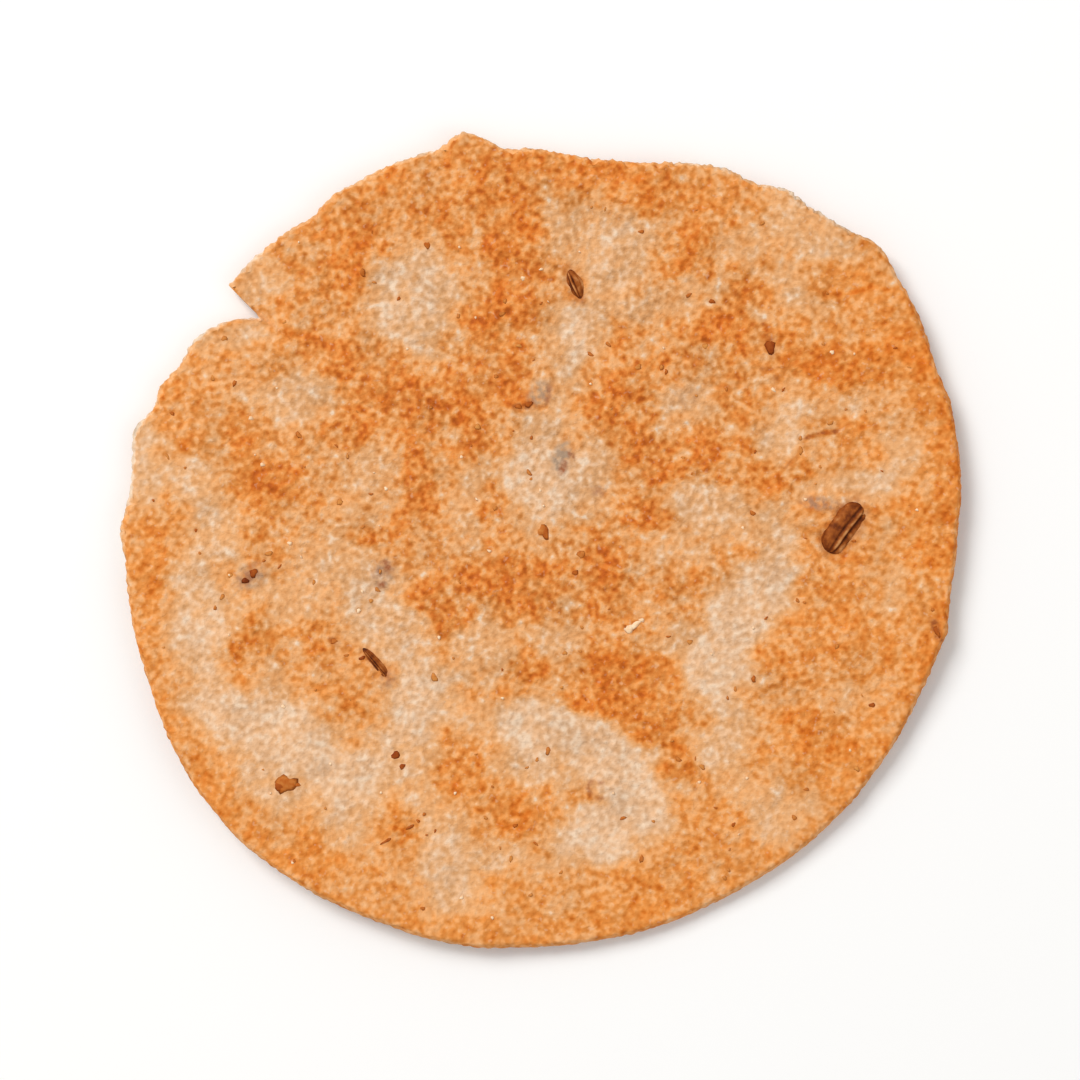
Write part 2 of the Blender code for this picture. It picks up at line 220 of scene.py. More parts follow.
# Places that stood against the griddle and toasted, in the same terms
TOASTED_PLACES = (
    (-2.2, 24.8, 6.9, 2.5, 88, 0.84),
    (-5.2, 19.4, 2.4, 2.0, 30, 0.85),
    (-5.4, 31.6, 3.0, 3.0, 60, 0.58),
    (-8.8, 28.6, 3.8, 1.7, 0, 0.42),
    (-18.2, 22.2, 1.6, 3.0, 0, 0.38),
    (-15.2, 14.8, 4.8, 2.3, -30, 0.76),
    (-9.2, 12.5, 4.4, 2.5, -25, 0.84),
    (-11.2, 10.6, 1.6, 1.2, 0, 0.55),
    (-16.4, 10.6, 3.6, 2.0, -6, 0.68),
    (-5.8, 8.8, 1.6, 2.2, 10, 0.72),
    (-3.0, 14.2, 2.6, 2.1, -60, 0.84),
    (-13.4, 16.4, 2.2, 1.2, -20, 0.40),
    (-16.6, 25.6, 3.2, 1.8, 76, 0.84),
    (6.6, 12.5, 3.4, 2.7, 55, 0.80),
    (8.6, 8.2, 2.6, 1.5, -45, 0.64),
    (13.2, 6.4, 3.6, 1.7, 30, 0.92),
    (12.2, 15.6, 2.2, 1.0, 0, 0.25),
    (16.0, 19.2, 3.3, 1.8, 30, 0.94),
    (18.0, 17.0, 3.2, 1.6, 0, 0.45),
    (25.2, 15.3, 4.0, 1.8, -10, 0.90),
    (30.6, 16.0, 3.2, 1.7, 10, 0.80),
    (33.4, 17.6, 3.8, 1.5, 102, 0.52),
    (35.4, 12.4, 3.6, 1.5, 98, 0.45),
    (36.8, 8.6, 3.0, 1.0, 95, 0.70),
    (-24.6, 4.4, 2.9, 2.4, -20, 0.78),
    (-26.8, 9.0, 2.2, 1.2, 90, 0.52),
    (-11.0, 3.6, 2.6, 1.7, 84, 0.86),
    (-11.4, 7.2, 2.4, 1.1, 90, 0.66),
    (-14.4, 0.6, 2.6, 1.3, 10, 0.66),
    (-2.6, -3.9, 5.5, 2.2, -4, 0.92),
    (-1.8, -3.6, 1.6, 1.1, 0, 0.26),
    (-9.4, -6.2, 2.4, 1.5, -50, 0.78),
    (5.8, -3.6, 3.6, 1.8, 88, 0.76),
    (7.0, -13.2, 3.3, 2.5, -25, 1.0),
    (7.8, -12.6, 4.4, 3.4, -42, 0.46),
    (4.9, -15.6, 2.2, 1.1, -10, 0.92),
    (11.5, -18.2, 3.2, 1.6, -68, 0.80),
    (-2.6, -25.2, 2.8, 1.5, -8, 0.66),
    (-7.2, -20.8, 2.8, 2.2, 98, 0.48),
    (-2.8, -23.4, 3.4, 1.1, -14, 0.15),
    (-26.2, -10.2, 2.4, 1.5, 92, 0.64),
    (-21.0, -8.6, 2.2, 1.5, -40, 0.62),
    (-17.0, -16.4, 2.8, 1.1, -62, 0.70),
    (-13.4, -12.0, 1.0, 1.6, 0, 0.30),
    (25.6, -19.2, 3.2, 1.7, -14, 0.56),
    (24.4, -16.4, 3.2, 1.2, 0, 0.60),
    (28.6, -10.6, 2.6, 2.2, 0, 0.26),
    (33.6, -11.6, 3.4, 2.4, 72, 0.26),
    (36.0, 0.4, 4.4, 1.8, 84, 0.60),
    (35.8, -8.8, 3.4, 1.9, 78, 0.62),
    (33.0, 1.7, 2.2, 1.0, 70, 0.52),
    (28.2, -5.6, 3.8, 4.0, 0, 0.34),
    (29.0, -21.4, 5.4, 3.4, -40, 0.14),
    (23.4, -9.6, 2.8, 3.8, 0, 0.22),
    (23.8, -1.6, 1.2, 1.6, 0, 0.55),
    (23.0, -22.8, 1.8, 1.4, 0, 0.30),
    (14.6, -16.2, 1.2, 1.2, 0, 0.50),
    (15.2, -26.4, 3.4, 2.4, 20, 0.30),
    (20.0, 5.0, 2.2, 1.4, -20, 0.76),
    (18.8, 8.2, 1.6, 1.6, 0, 0.50),
    (22.6, 2.4, 1.6, 1.0, 50, 0.24),
    (9.4, 1.8, 1.9, 2.0, 90, 0.74),
    (5.4, -0.2, 1.8, 0.9, 0, 0.22),
    (13.2, -4.0, 2.0, 1.2, 20, 0.40),
    (9.8, 10.6, 1.3, 1.5, 0, 0.15),
    (-1.4, -12.0, 1.7, 1.2, 0, 0.62),
    (-3.2, -13.6, 2.6, 0.8, -10, 0.40),
    (-3.6, -6.9, 3.6, 0.9, 0, 0.38),
    (13.4, 25.4, 3.4, 1.9, 75, 0.50),
    (16.8, 28.8, 4.4, 1.2, -12, 0.22),
    (26.4, 23.0, 3.0, 1.6, 0, 0.37),
    (23.6, 17.8, 1.8, 1.4, 0, 0.50),
    (30.2, 21.0, 2.0, 1.4, 40, 0.32),
    (28.2, 9.6, 1.8, 1.4, 75, 0.45),
    (23.8, 5.8, 1.3, 1.3, 0, 0.40),
    (-21.6, 17.4, 2.2, 1.5, -10, 0.62),
    (-12.8, -25.2, 1.4, 1.6, 0, 0.15),
    (-20.4, -28.2, 3.0, 2.2, 32, 0.42),
    (-29.2, -22.6, 2.8, 1.5, -52, 0.42),
    (-19.0, 28.4, 3.4, 2.2, 35, 0.25),
    (4.0, 32.8, 7.6, 2.0, -8, 0.60),
    (11.2, 30.4, 3.6, 1.6, 8, 0.58),
    (-12.8, 31.2, 3.4, 1.4, 24, 0.36),
    (-34.4, -2.2, 4.2, 1.8, 86, 0.48),
    (-32.2, 9.2, 1.6, 1.6, 0, 0.42),
    (-31.4, 13.0, 2.4, 1.4, 70, 0.18),
    (-23.4, -0.4, 1.4, 1.4, 0, 0.34),
    (17.8, 12.0, 1.6, 2.2, 0, 0.34),
    (3.0, 22.0, 1.1, 1.2, 0, 0.40),
    (-4.6, 2.4, 1.3, 1.1, 0, 0.55),
    (-17.4, -18.0, 1.6, 0.8, 0, 0.50),
    (-22.4, -22.2, 1.2, 1.0, 0, 0.25),
    (9.4, -32.8, 5.2, 2.2, 24, 0.36),
    (12.4, -12.4, 0.8, 2.4, 20, 0.20),
    (36.6, 3.6, 3.2, 1.0, 92, 0.35),
    (26.6, -3.0, 1.6, 1.1, 0, 0.30),
    (-2.4, -36.0, 3.0, 1.1, -4, 0.25),
)

# How strong the pale and toasted places are overall, and how much of a patch its soft edge takes
PALE_STRENGTH = 0.90
TOASTED_STRENGTH = 0.80
PATCH_SOFTNESS = 0.8
PLAIN_TOAST = 0.15

# The field of patches is pushed about a little, so that no patch keeps an even edge
WANDER = 0.4 * MM
WANDER_WAVES = (3.0 * MM, 7.0 * MM, 20)
WANDER_SEEDS = (11, 12)

# Toasted places stand this much higher than plain ones, and pale places lower
TOAST_RELIEF = 0.13 * MM

# Seeds sunk under the skin show as grey places: x, y, half length, half width, turn, strength
SUNK_SEEDS = (
    (2.0, 7.0, 1.5, 0.9, 76, 0.90),
    (5.2, 4.1, 0.7, 0.6, 20, 0.40),
    (-14.0, -3.5, 1.3, 0.9, 75, 0.65),
    (25.1, 2.9, 1.7, 0.6, -8, 0.65),
    (-25.8, -3.6, 1.4, 1.1, 30, 0.60),
    (0.0, 12.8, 1.2, 1.0, 60, 0.65),
    (12.9, 12.4, 1.6, 1.0, 20, 0.25),
    (-13.6, -12.8, 1.0, 0.7, 60, 0.35),
    (3.6, 20.8, 0.8, 0.6, 0, 0.30),
    (-19.4, -20.6, 1.4, 0.7, 10, 0.30),
)
SUNK_SEED_RISE = 0.10 * MM

# Fine creases in the skin: from x, y to x, y, half width, depth, and how much darker they toasted
CREASES = (
    (27.4, 21.6, 29.6, 22.3, 0.22, 0.06, 0.9),
    (29.6, 22.3, 31.6, 21.7, 0.22, 0.06, 0.8),
    (21.4, -4.6, 23.9, -2.5, 0.30, -0.06, -0.3),
    (-13.8, -25.8, -12.0, -26.4, 0.20, 0.05, 0.9),
    (-13.0, -27.4, -10.8, -26.6, 0.20, 0.05, 0.9),
    (23.7, 8.7, 25.0, 9.2, 0.22, 0.05, 1.2),
    (25.0, 9.2, 26.6, 9.4, 0.22, 0.05, 1.2),
    (21.9, 6.1, 22.9, 7.1, 0.22, 0.05, 0.9),
    (-18.0, 13.8, -16.8, 14.4, 0.20, 0.04, 0.8),
    (20.0, 19.2, 20.4, 17.9, 0.18, 0.04, 1.0),
)

# Husk showing brown through the skin, and painted shade round the big seed and under the rim's nick on the
# right, as short strokes: from x, y to x, y, half width and strength
HUSK_AND_PAINTED_SHADE_MARKS = (
    (24.0, 3.1, 26.2, 2.7, 0.45, 0.30),
    (-14.6, -3.2, -14.0, -3.8, 0.50, 0.30),
    # Painted shade: a wide brown stroke under and round the big seed, for the dark gap where it sits sunk
    # in the dough
    (26.3, -0.5, 28.2, 2.1, 1.45, 0.45),
    (26.5, 2.2, 27.0, 2.6, 0.40, 0.70),
    (-15.7, -10.3, -13.6, -12.9, 0.45, 0.40),
    (2.6, 23.8, 3.4, 21.5, 0.60, 0.35),
    (2.0, 5.8, 2.2, 6.5, 0.35, 0.65),
    (2.7, 7.7, 2.9, 7.0, 0.25, 0.60),
    (-13.9, -2.4, -13.3, -2.5, 0.32, 0.60),
    (-13.7, -2.9, -13.4, -3.1, 0.26, 0.70),
    (-14.3, -4.2, -14.1, -4.4, 0.28, 0.70),
    (-26.5, -4.0, -25.6, -3.3, 0.55, 0.45),
    (-2.2, 11.5, -1.9, 11.6, 0.32, 0.70),
    (-1.2, 11.7, -0.8, 11.8, 0.34, 0.85),
    (0.7, 12.1, 0.9, 13.6, 0.25, 0.45),
    (5.0, 4.1, 5.5, 3.9, 0.40, 0.40),
    (5.5, -22.1, 4.6, -22.0, 0.22, 0.50),
    (4.6, -22.0, 4.3, -22.7, 0.22, 0.60),
    (4.3, -22.7, 4.7, -23.3, 0.22, 0.55),
    (4.7, -23.3, 5.6, -23.5, 0.22, 0.45),
    (23.8, 8.8, 25.0, 9.2, 0.18, 0.80),
    (25.0, 9.2, 26.5, 9.35, 0.18, 0.80),
    (22.0, 6.2, 22.8, 7.0, 0.20, 0.55),
    (20.0, 19.2, 20.4, 17.9, 0.18, 0.60),
    (20.6, 17.4, 20.7, 16.5, 0.50, 0.55),
    (19.9, 15.0, 20.1, 15.1, 0.28, 0.45),
    (21.1, 14.2, 21.2, 14.1, 0.28, 0.45),
    (-18.6, -9.4, -18.3, -9.4, 0.38, 0.45),
    (35.1, -7.7, 35.6, -9.1, 0.36, 0.75),
    # Painted shadow: a dark stroke on the rim's side under the nick on the right
    (36.5, -8.7, 36.1, -10.0, 0.32, 0.60),
)

# Cumin: x, y, length and width in millimetres, turn in degrees, 1 on top or -1 on the underside, how blunt
# its tips are (2 is drawn out and 4 is blunt) and how dark it roasted
CUMIN = (
    (27.25, 0.75, 5.3, 2.65, 54.0, 1, 4.6, 0.12),
    (-14.6, -11.5, 3.9, 0.85, -50.0, 1, 2.6, 0.15),
    (3.05, 22.6, 3.2, 1.42, -66.0, 1, 1.6, -0.08),
    (-24.0, 19.0, 4.8, 1.4, 15.0, -1, 2.8, 0.10),
    (14.5, -27.5, 5.2, 1.5, -65.0, -1, 3.0, 0.0),
    (30.5, 6.0, 4.4, 1.3, 110.0, -1, 2.6, 0.15),
)
CUMIN_FLATNESS = 0.62
CUMIN_SUNK = 0.12
CUMIN_RIDGES = 7
CUMIN_RIDGE_DEPTH = 0.10
CUMIN_TAPER = 0.05
CUMIN_BOW = 0.08
CUMIN_GRID = (40, 72)
# Across each seed, from -1 to 1: its two clefts and the high ridge between them, with their half widths
CLEFTS_AT = (-0.14, -0.66)
CLEFT_WIDTH = 0.09
CLEFT_DEPTH = 0.22
HIGH_RIDGE_AT = -0.40
HIGH_RIDGE_WIDTH = 0.10
# The seeds of the underside are pressed almost flat into it
UNDER_SEED_FLATNESS = 0.35
UNDER_SEED_SUNK = 0.1 * MM

# Larger bran and seed flakes: x, y, length and width in millimetres, turn in degrees, darkness from 0 to 1
BRAN_MARKS = (
    (-22.65, -22.1, 2.0, 1.7, -8.0, 0.28),
    (-23.2, -22.3, 0.9, 1.0, 60.0, 0.50),
    (-21.6, -22.2, 0.6, 0.35, -5.0, 0.35),
    (-12.9, -19.6, 0.80, 0.75, 0.0, 0.65),
    (-12.3, -20.6, 0.55, 0.5, 0.0, 0.55),
    (-26.3, -3.95, 0.68, 0.65, 0.0, 0.85),
    (-25.6, -3.3, 0.85, 0.75, 40.0, 0.58),
    (-15.9, -10.9, 0.6, 0.35, 20.0, 0.60),
    (0.15, 0.5, 1.1, 0.9, 60.0, 0.22),
    (0.5, 0.3, 1.5, 0.6, 100.0, 0.42),
    (20.6, 16.9, 1.5, 0.85, 100.0, 0.62),
    (-1.9, 11.6, 0.6, 0.5, 0.0, 0.35),
    (-1.0, 11.8, 0.75, 0.55, 20.0, 0.50),
    (35.4, -8.5, 1.1, 0.45, -70.0, 0.40),
    (29.7, -15.1, 0.55, 0.45, 0.0, 0.45),
    (-18.4, -9.4, 0.65, 0.55, 0.0, 0.30),
    (15.4, 21.0, 0.6, 0.4, 0.0, 0.45),
    (-13.7, -27.2, 1.2, 0.25, 25.0, 0.45),
    (-11.6, -26.0, 1.0, 0.25, 30.0, 0.45),
)

# Fine bran of the flour, scattered by a seeded draw over each face
FINE_BRAN_SEEDS = (8, 28)
FINE_BRAN_COUNT = 150
FINE_BRAN_LENGTHS = (0.30 * MM, 0.85 * MM)
FINE_BRAN_SLIMNESS = (0.35, 0.9)
FLAKE_SPOKES = 10
FLAKE_RISE = 0.045 * MM
FLAKE_EDGE_SEED = 9
# A flake's uneven outline, as waves to the round and their depths, and its rings from the middle of its top
# to the point that closes it below, as shares of its size and of its rise
FLAKE_WAVES = ((2, 0.12), (3, 0.16), (5, 0.10))
FLAKE_RINGS = ((0.0, 1.0), (0.6, 0.85), (1.0, -0.9), (0.0, -1.6))

# Crumbs of dough stuck to the top, and one painted highlight: x, y, length and width in millimetres, turn
# in degrees
CRUMBS_AND_PAINTED_HIGHLIGHT = (
    (8.0, -8.3, 1.1, 0.75, 65.0),
    (8.6, -7.9, 1.2, 0.60, 38.0),
    (9.1, -7.5, 0.6, 0.40, 10.0),
    # Painted highlight: a pale speck put where there is only a glint
    (-24.8, 6.4, 0.5, 0.4, 0.0),
    (20.9, 13.1, 0.6, 0.35, -40.0),
)
FLOUR_SEEDS = (17, 37)
FLOUR_COUNT = 50
FLOUR_LENGTHS = (0.25 * MM, 0.55 * MM)
FLOUR_SLIMNESS = (0.6, 1.0)
CRUMB_RISE = 0.07 * MM
CRUMB_EDGE_SEED = 19

# Bran and flour keep off the rim, and below off the pressed middle, a share of the radius
FREE_RIM = 1.5 * MM
FREE_MIDDLE = 0.4

# The dough's fine grain: short waves, dense pimples and a few pinholes, and the strength of each. Pimples
# and pinholes have their spacing, and their least and greatest radius as shares of it. The grain is finer
# on pale skin than on toasted, and near the moist place rougher than where the skin dried
SKIN_HEIGHT = 0.10 * MM
SKIN_WAVES = (0.7 * MM, 1.3 * MM, 60)
PIMPLES = (0.75 * MM, 0.45, 0.80)
PINHOLES = (1.30 * MM, 0.22, 0.42)
SKIN_STRENGTHS = (0.28, 0.65, 0.80)
PALE_TO_TOASTED_GRAIN = (0.84, 1.08)
MOIST_TO_DRIED_GRAIN = (1.08, 0.76)
TOP_SKIN_SEED = 61
UNDER_SKIN_SEED = 71

# The underside's toasting: its middle, its patches, their uneven edges, and how much paler hollows are
UNDER_TOAST = 0.30
UNDER_PATCHES = (6.0 * MM, 14.0 * MM, 26, 43)
UNDER_PATCH_STRENGTH = 0.42
UNDER_EDGES = (2.0 * MM, 5.0 * MM, 26, 44)
UNDER_EDGE_STRENGTH = 0.16
HOLLOW_PALENESS = 0.9

# The thin rim toasts sooner: from which share of the radius, over which width and how much, how much less
# on the ragged end, and the toasting under which it stays pale
RIM_TOAST_FROM = 0.90
RIM_TOAST_WIDTH = 0.08
RIM_TOAST = 0.08
RAGGED_RIM_LOSS = 0.03
PALE_RIM = -0.6

# The crust's mesh: cells across the top and the underside, and rows of points round the rim between them.
# Half as many cells below keeps the shell under 200,000 triangles. The last two are powers of the share of
# the radius, by which the outline's own shape and the crumbled edge fade in
TOP_CELLS = 264
UNDER_CELLS = 132
RIM_ROWS = 7
OUTLINE_FADE = 4
CRUMBLE_FADE = 40

# How far the crust keeps inside the solid's outline, and how much of the flat pattern goes round the rim: a
# little more than its height, so that its grains lie in layers
RIM_INSET = 0.08 * MM
RIM_WRAP = 2.0 * MM
# How much less the rim's side toasted, where it was cut and where it is ragged
RIM_SIDE_PALENESS = (0.12, 0.87)

# The rim is mealy, where it was cut and more where it is ragged. Along the ragged end crumbs broke off in
# bites, which are pimples turned inward, in some stretches a quarter as deep as in others
CRUMBLE_WAVES = (0.5 * MM, 1.5 * MM, 40, 81)
CRUMBLE_DEPTHS = (0.02 * MM, 0.08 * MM)
BITES = (1.2 * MM, 0.35, 0.8, 83)
BITE_DEPTH = 0.45 * MM
BITTEN_STRETCHES = (4.0 * MM, 9.0 * MM, 12, 84)
BITTEN_LEAST = 0.25

# Away from this place the skin dried clearer and lighter: not at all within the radius, and fully past the
# width after it
MOIST_PLACE = (-2.0 * MM, 10.0 * MM)
MOIST_RADIUS = 16.0 * MM
DRYING_WIDTH = 30.0 * MM

# The camera takes in this width at the khakhra
PICTURE_WIDTH = 96.5 * MM
LENS = 90.0
SENSOR = 36.0


def ease(value):
    """A smooth step: 0 below 0, 1 above 1, with level ends."""
    share = np.clip(value, 0.0, 1.0)
    return share * share * (3.0 - 2.0 * share)


def between(ends, share):
    """The value a share of the way from the first end to the second."""
    return ends[0] + (ends[1] - ends[0]) * share


def turned(x, y, turn):
    """Places turned about the origin by degrees, counter-clockwise."""
    cosine, sine = np.cos(np.radians(turn)), np.sin(np.radians(turn))
    return x * cosine - y * sine, x * sine + y * cosine


def waves(x, y, shortest, longest, count, seed):
    """Even roughness of size 1: flat waves of seeded heading, length and phase, added together."""
    draw = np.random.default_rng(seed)
    height = np.zeros_like(x)
    for _ in range(count):
        heading = 2.0 * np.pi * draw.random()
        length = between((shortest, longest), draw.random())
        phase = 2.0 * np.pi * draw.random()
        travel = x * np.cos(heading) + y * np.sin(heading)
        height += np.cos(2.0 * np.pi * travel / length + phase)
    return height / np.sqrt(count / 2.0)


def pimples(x, y, spacing, narrowest, widest, seed):
    """Small domes: the surface is cut into square cells, and each holds one dome of seeded place, width
    and height. A dome is a smooth step from its rim to its middle, and the highest at a place counts."""
    draw = np.random.default_rng(seed)
    cells = 256
    middle_x, middle_y, width, rise = draw.random((4, cells, cells))
    column = np.floor(x / spacing).astype(int)
    row = np.floor(y / spacing).astype(int)
    height = np.zeros_like(x)
    for step_x in (-1, 0, 1):
        for step_y in (-1, 0, 1):
            cell = ((row + step_y) % cells, (column + step_x) % cells)
            east = x / spacing - (column + step_x) - middle_x[cell]
            north = y / spacing - (row + step_y) - middle_y[cell]
            reach = between((narrowest, widest), width[cell])
            height = np.maximum(height, rise[cell] * ease(1.0 - np.hypot(east, north) / reach))
    return height


def turn_from(angle, direction):
    """The signed turn from a direction in degrees to each angle in radians, from -180 to 180 degrees."""
    return (np.degrees(angle) - direction + 180.0) % 360.0 - 180.0


def ragged_share(angle):
    """1 along the ragged end of the sheet, 0 where the cutter went right through, soft between."""
    middle = (RAGGED_FROM + RAGGED_TO) / 2.0
    half = (RAGGED_TO - RAGGED_FROM) / 2.0
    return ease((half - np.abs(turn_from(angle, middle))) / RAGGED_SOFTNESS + 0.5)


def outline_curve(angle):
    """A smooth curve through the outline's points. Between two points it is a cubic, and at a point its
    slope is that of the parabola through the point and its neighbours."""
    directions, reaches = np.array(OUTLINE_POINTS).T
    places = np.concatenate([directions - 360.0, directions, directions + 360.0])
    levels = np.tile(reaches, 3)
    slopes = np.gradient(levels, places)
    place = turn_from(angle, 0.0)
    after = np.searchsorted(places, place, side="right")
    before = after - 1
    gap = places[after] - places[before]
    share = (place - places[before]) / gap
    straight = between((levels[before], levels[after]), ease(share))
    bow = slopes[before] * (1.0 - share) - slopes[after] * share
    return (straight + gap * share * (1.0 - share) * bow) * MM


def outline_radius(angle):
    """The curve through the outline's points, the torn lip's step and fine raggedness."""
    radius = outline_curve(angle)
    past_lip = turn_from(angle, TORN_LIP_AT)
    healing = np.exp(-np.maximum(past_lip, 0.0) / TORN_LIP_HEALS)
    radius -= TORN_LIP_STEP * ease(past_lip / TORN_LIP_SLOPE + 0.5) * healing
    depth = between((CLEAN_DEPTH, RAGGED_DEPTH), ragged_share(angle))
    for count in RAGGED_WAVES:
        radius += depth * np.cos(count * angle + 0.7 * count) / np.sqrt(len(RAGGED_WAVES))
    return radius


def centred(x, y, height):
    """Points shifted so that the middle of the box round the outline is over the origin."""
    angle = np.radians(np.arange(-180.0, 180.0, 0.25))
    edge = outline_radius(angle) * np.stack([np.cos(angle), np.sin(angle)])
    middle_x, middle_y = (edge.min(1) + edge.max(1)) / 2.0
    return np.stack([x - middle_x, y - middle_y, height], -1)


def round_from_square(across, along):
    """The map from square to disc, ring by ring. Gives the share of the radius, and the angle."""
    sideways = np.abs(across) >= np.abs(along)
    ring = np.where(sideways, across, along)
    whole = np.where(ring == 0.0, 1.0, ring)
    turn = np.where(sideways, along / whole, 2.0 - across / whole) * np.pi / 4.0
    return np.abs(ring), np.where(ring < 0.0, turn + np.pi, turn)


def rim_curl(x, y):
    """The curl of the rim: none in the pressed middle, then rising with the square of the way out."""
    angle = np.arctan2(y, x)
    out = (np.hypot(x, y) - PRESSED_RADIUS) / (CUTTER_RADIUS - PRESSED_RADIUS)
    bend = BEND_SHARE * np.cos(2.0 * (angle - BEND_TOWARDS))
    twist = TWIST_SHARE * np.cos(3.0 * (angle - TWIST_TOWARDS))
    return RIM_LIFT * np.maximum(out, 0.0) ** 2 * (1.0 + bend + twist)


def thickness(x, y):
    """Thickest in the middle and thinner only near the rim, as a rolled disc is."""
    share = np.hypot(x, y) / CUTTER_RADIUS
    return MIDDLE_THICKNESS - (MIDDLE_THICKNESS - RIM_THICKNESS) * share**4


def patch_cover(x, y, patches):
    """How much the patches cover each place. Each is an ellipse, full in its middle and soft at its edge,
    and where two meet, each covers its share of what the other leaves bare."""
    cover = np.zeros_like(x)
    for middle_x, middle_y, half_length, half_width, turn, strength in patches:
        along, across = turned(x - middle_x * MM, y - middle_y * MM, -turn)
        away = np.hypot(along / (half_length * MM), across / (half_width * MM))
        share = ease((1.0 + PATCH_SOFTNESS / 2.0 - away) / PATCH_SOFTNESS)
        cover += strength * share * (1.0 - cover)
    return cover


def top_toast(x, y):
    """How toasted the top is: about -1 where palest and 1 where most toasted."""
    east = x + WANDER * waves(x, y, *WANDER_WAVES, WANDER_SEEDS[0])
    north = y + WANDER * waves(x, y, *WANDER_WAVES, WANDER_SEEDS[1])
    toasted = TOASTED_STRENGTH * patch_cover(east, north, TOASTED_PLACES)
    return PLAIN_TOAST + toasted - PALE_STRENGTH * patch_cover(east, north, PALE_PLACES)


def scatter_blisters(seed):
    """Blisters as (x, y, radius, height), drawn one by one, and kept where they meet none kept before."""
    draw = np.random.default_rng(seed)
    kept = []
    for _ in range(BLISTER_TRIES):
        reach = (CUTTER_RADIUS - BLISTER_FREE_RIM) * np.sqrt(draw.random())
        angle = 2.0 * np.pi * draw.random()
        radius = between(BLISTER_RADII, draw.random() ** 2)
        height = between(BLISTER_HEIGHTS, draw.random())
        x, y = reach * np.cos(angle), reach * np.sin(angle)
        if all(np.hypot(x - other[0], y - other[1]) > radius + other[2] for other in kept):
            kept.append((x, y, radius, height))
    return kept


TOP_BLISTERS = scatter_blisters(BLISTER_SEED)
UNDERSIDE_HOLLOWS = scatter_blisters(UNDERSIDE_SEED)


def blister_height(x, y, blisters):
    """The sum of low round domes, each a smooth step over three quarters of its radius to its flat top."""
    height = np.zeros_like(x)
    for middle_x, middle_y, radius, rise in blisters:
        height += rise * ease((1.0 - np.hypot(x - middle_x, y - middle_y) / radius) / 0.75)
    return height


def stroke(x, y, from_x, from_y, to_x, to_y, half_width):
    """1 on a short straight line, falling smoothly to 0 at one and a half times the half width away from
    it. Also gives how far along the line each place is, from 0 to 1."""
    run_x, run_y = (to_x - from_x) * MM, (to_y - from_y) * MM
    east, north = x - from_x * MM, y - from_y * MM
    along = np.clip((east * run_x + north * run_y) / (run_x**2 + run_y**2), 0.0, 1.0)
    away = np.hypot(east - along * run_x, north - along * run_y)
    return ease(1.5 - away / (half_width * MM)), along


def crease_share(x, y):
    """Height and darkness of the creases: each is full halfway along its line and four tenths of that at
    its ends, by a sine."""
    height, darkness = np.zeros_like(x), np.zeros_like(x)
    for *line, depth, dark in CREASES:
        share, along = stroke(x, y, *line)
        share = share * (0.4 + 0.6 * np.sin(np.pi * along))
        height -= depth * MM * share
        darkness += dark * share
    return height, darkness


def husk_and_painted_shade_share(x, y):
    """How much husk shows through the skin, and how much shade is painted round the big seed and at the
    rim's nick: the strongest stroke at each place.
    """
    share = np.zeros_like(x)
    for *line, strength in HUSK_AND_PAINTED_SHADE_MARKS:
        share = np.maximum(share, strength * stroke(x, y, *line)[0])
    return share


def skin_relief(x, y, seed):
    """The dough's fine grain, about -1 to 1: waves, pimples less a fifth, which keeps the middle near 0,
    and the pinholes' square taken off."""
    of_waves, of_pimples, of_pinholes = SKIN_STRENGTHS
    grain = of_waves * waves(x, y, *SKIN_WAVES, seed)
    grain += of_pimples * pimples(x, y, *PIMPLES, seed + 1) - 0.20
    grain -= of_pinholes * pimples(x, y, *PINHOLES, seed + 2) ** 2
    return grain


def underside_height(x, y):
    """The rim's curl, with shallow hollows pressed up into it outside the flat middle, and fine grain, of
    which the pressing left three tenths in the flat middle."""
    off_middle = ease((np.hypot(x, y) - FLAT_MIDDLE_RADIUS) / FLAT_MIDDLE_ENDS)
    hollows = blister_height(x, y, UNDERSIDE_HOLLOWS) * off_middle
    grain = SKIN_HEIGHT * skin_relief(x, y, UNDER_SKIN_SEED)
    return np.maximum(rim_curl(x, y) + hollows + grain * (0.3 + 0.7 * off_middle), 0.0)


def top_height(x, y):
    """The curl and the thickness, with blisters, slow waves, toasted and pale places, seeds and creases."""
    relief = TOAST_RELIEF * np.clip(top_toast(x, y) - PLAIN_TOAST, -1.0, 0.8)
    relief += blister_height(x, y, TOP_BLISTERS)
    relief += ROLLING_HEIGHT * waves(x, y, *ROLLING_WAVES)
    relief += SUNK_SEED_RISE * patch_cover(x, y, SUNK_SEEDS)
    relief += crease_share(x, y)[0]
    return rim_curl(x, y) + thickness(x, y) + relief


def face_height(x, y, face):
    """The height of the top (face 1) or of the underside (-1)."""
    return top_height(x, y) if face > 0 else underside_height(x, y)


def under_toast(x, y):
    """How toasted the underside is: the pressed ground between the hollows most, the hollows least."""
    toast = UNDER_TOAST + UNDER_PATCH_STRENGTH * waves(x, y, *UNDER_PATCHES)
    toast += UNDER_EDGE_STRENGTH * waves(x, y, *UNDER_EDGES)
    return toast - HOLLOW_PALENESS * blister_height(x, y, UNDERSIDE_HOLLOWS) / BLISTER_HEIGHTS[1]


def rim_toast(toast, ring, angle):
    """The toasting with the rim's own, which fades in over the last few millimetres."""
    near_rim = ease((ring - RIM_TOAST_FROM) / RIM_TOAST_WIDTH)
    return toast + near_rim * (RIM_TOAST - RAGGED_RIM_LOSS * ragged_share(angle)) * (toast > PALE_RIM)


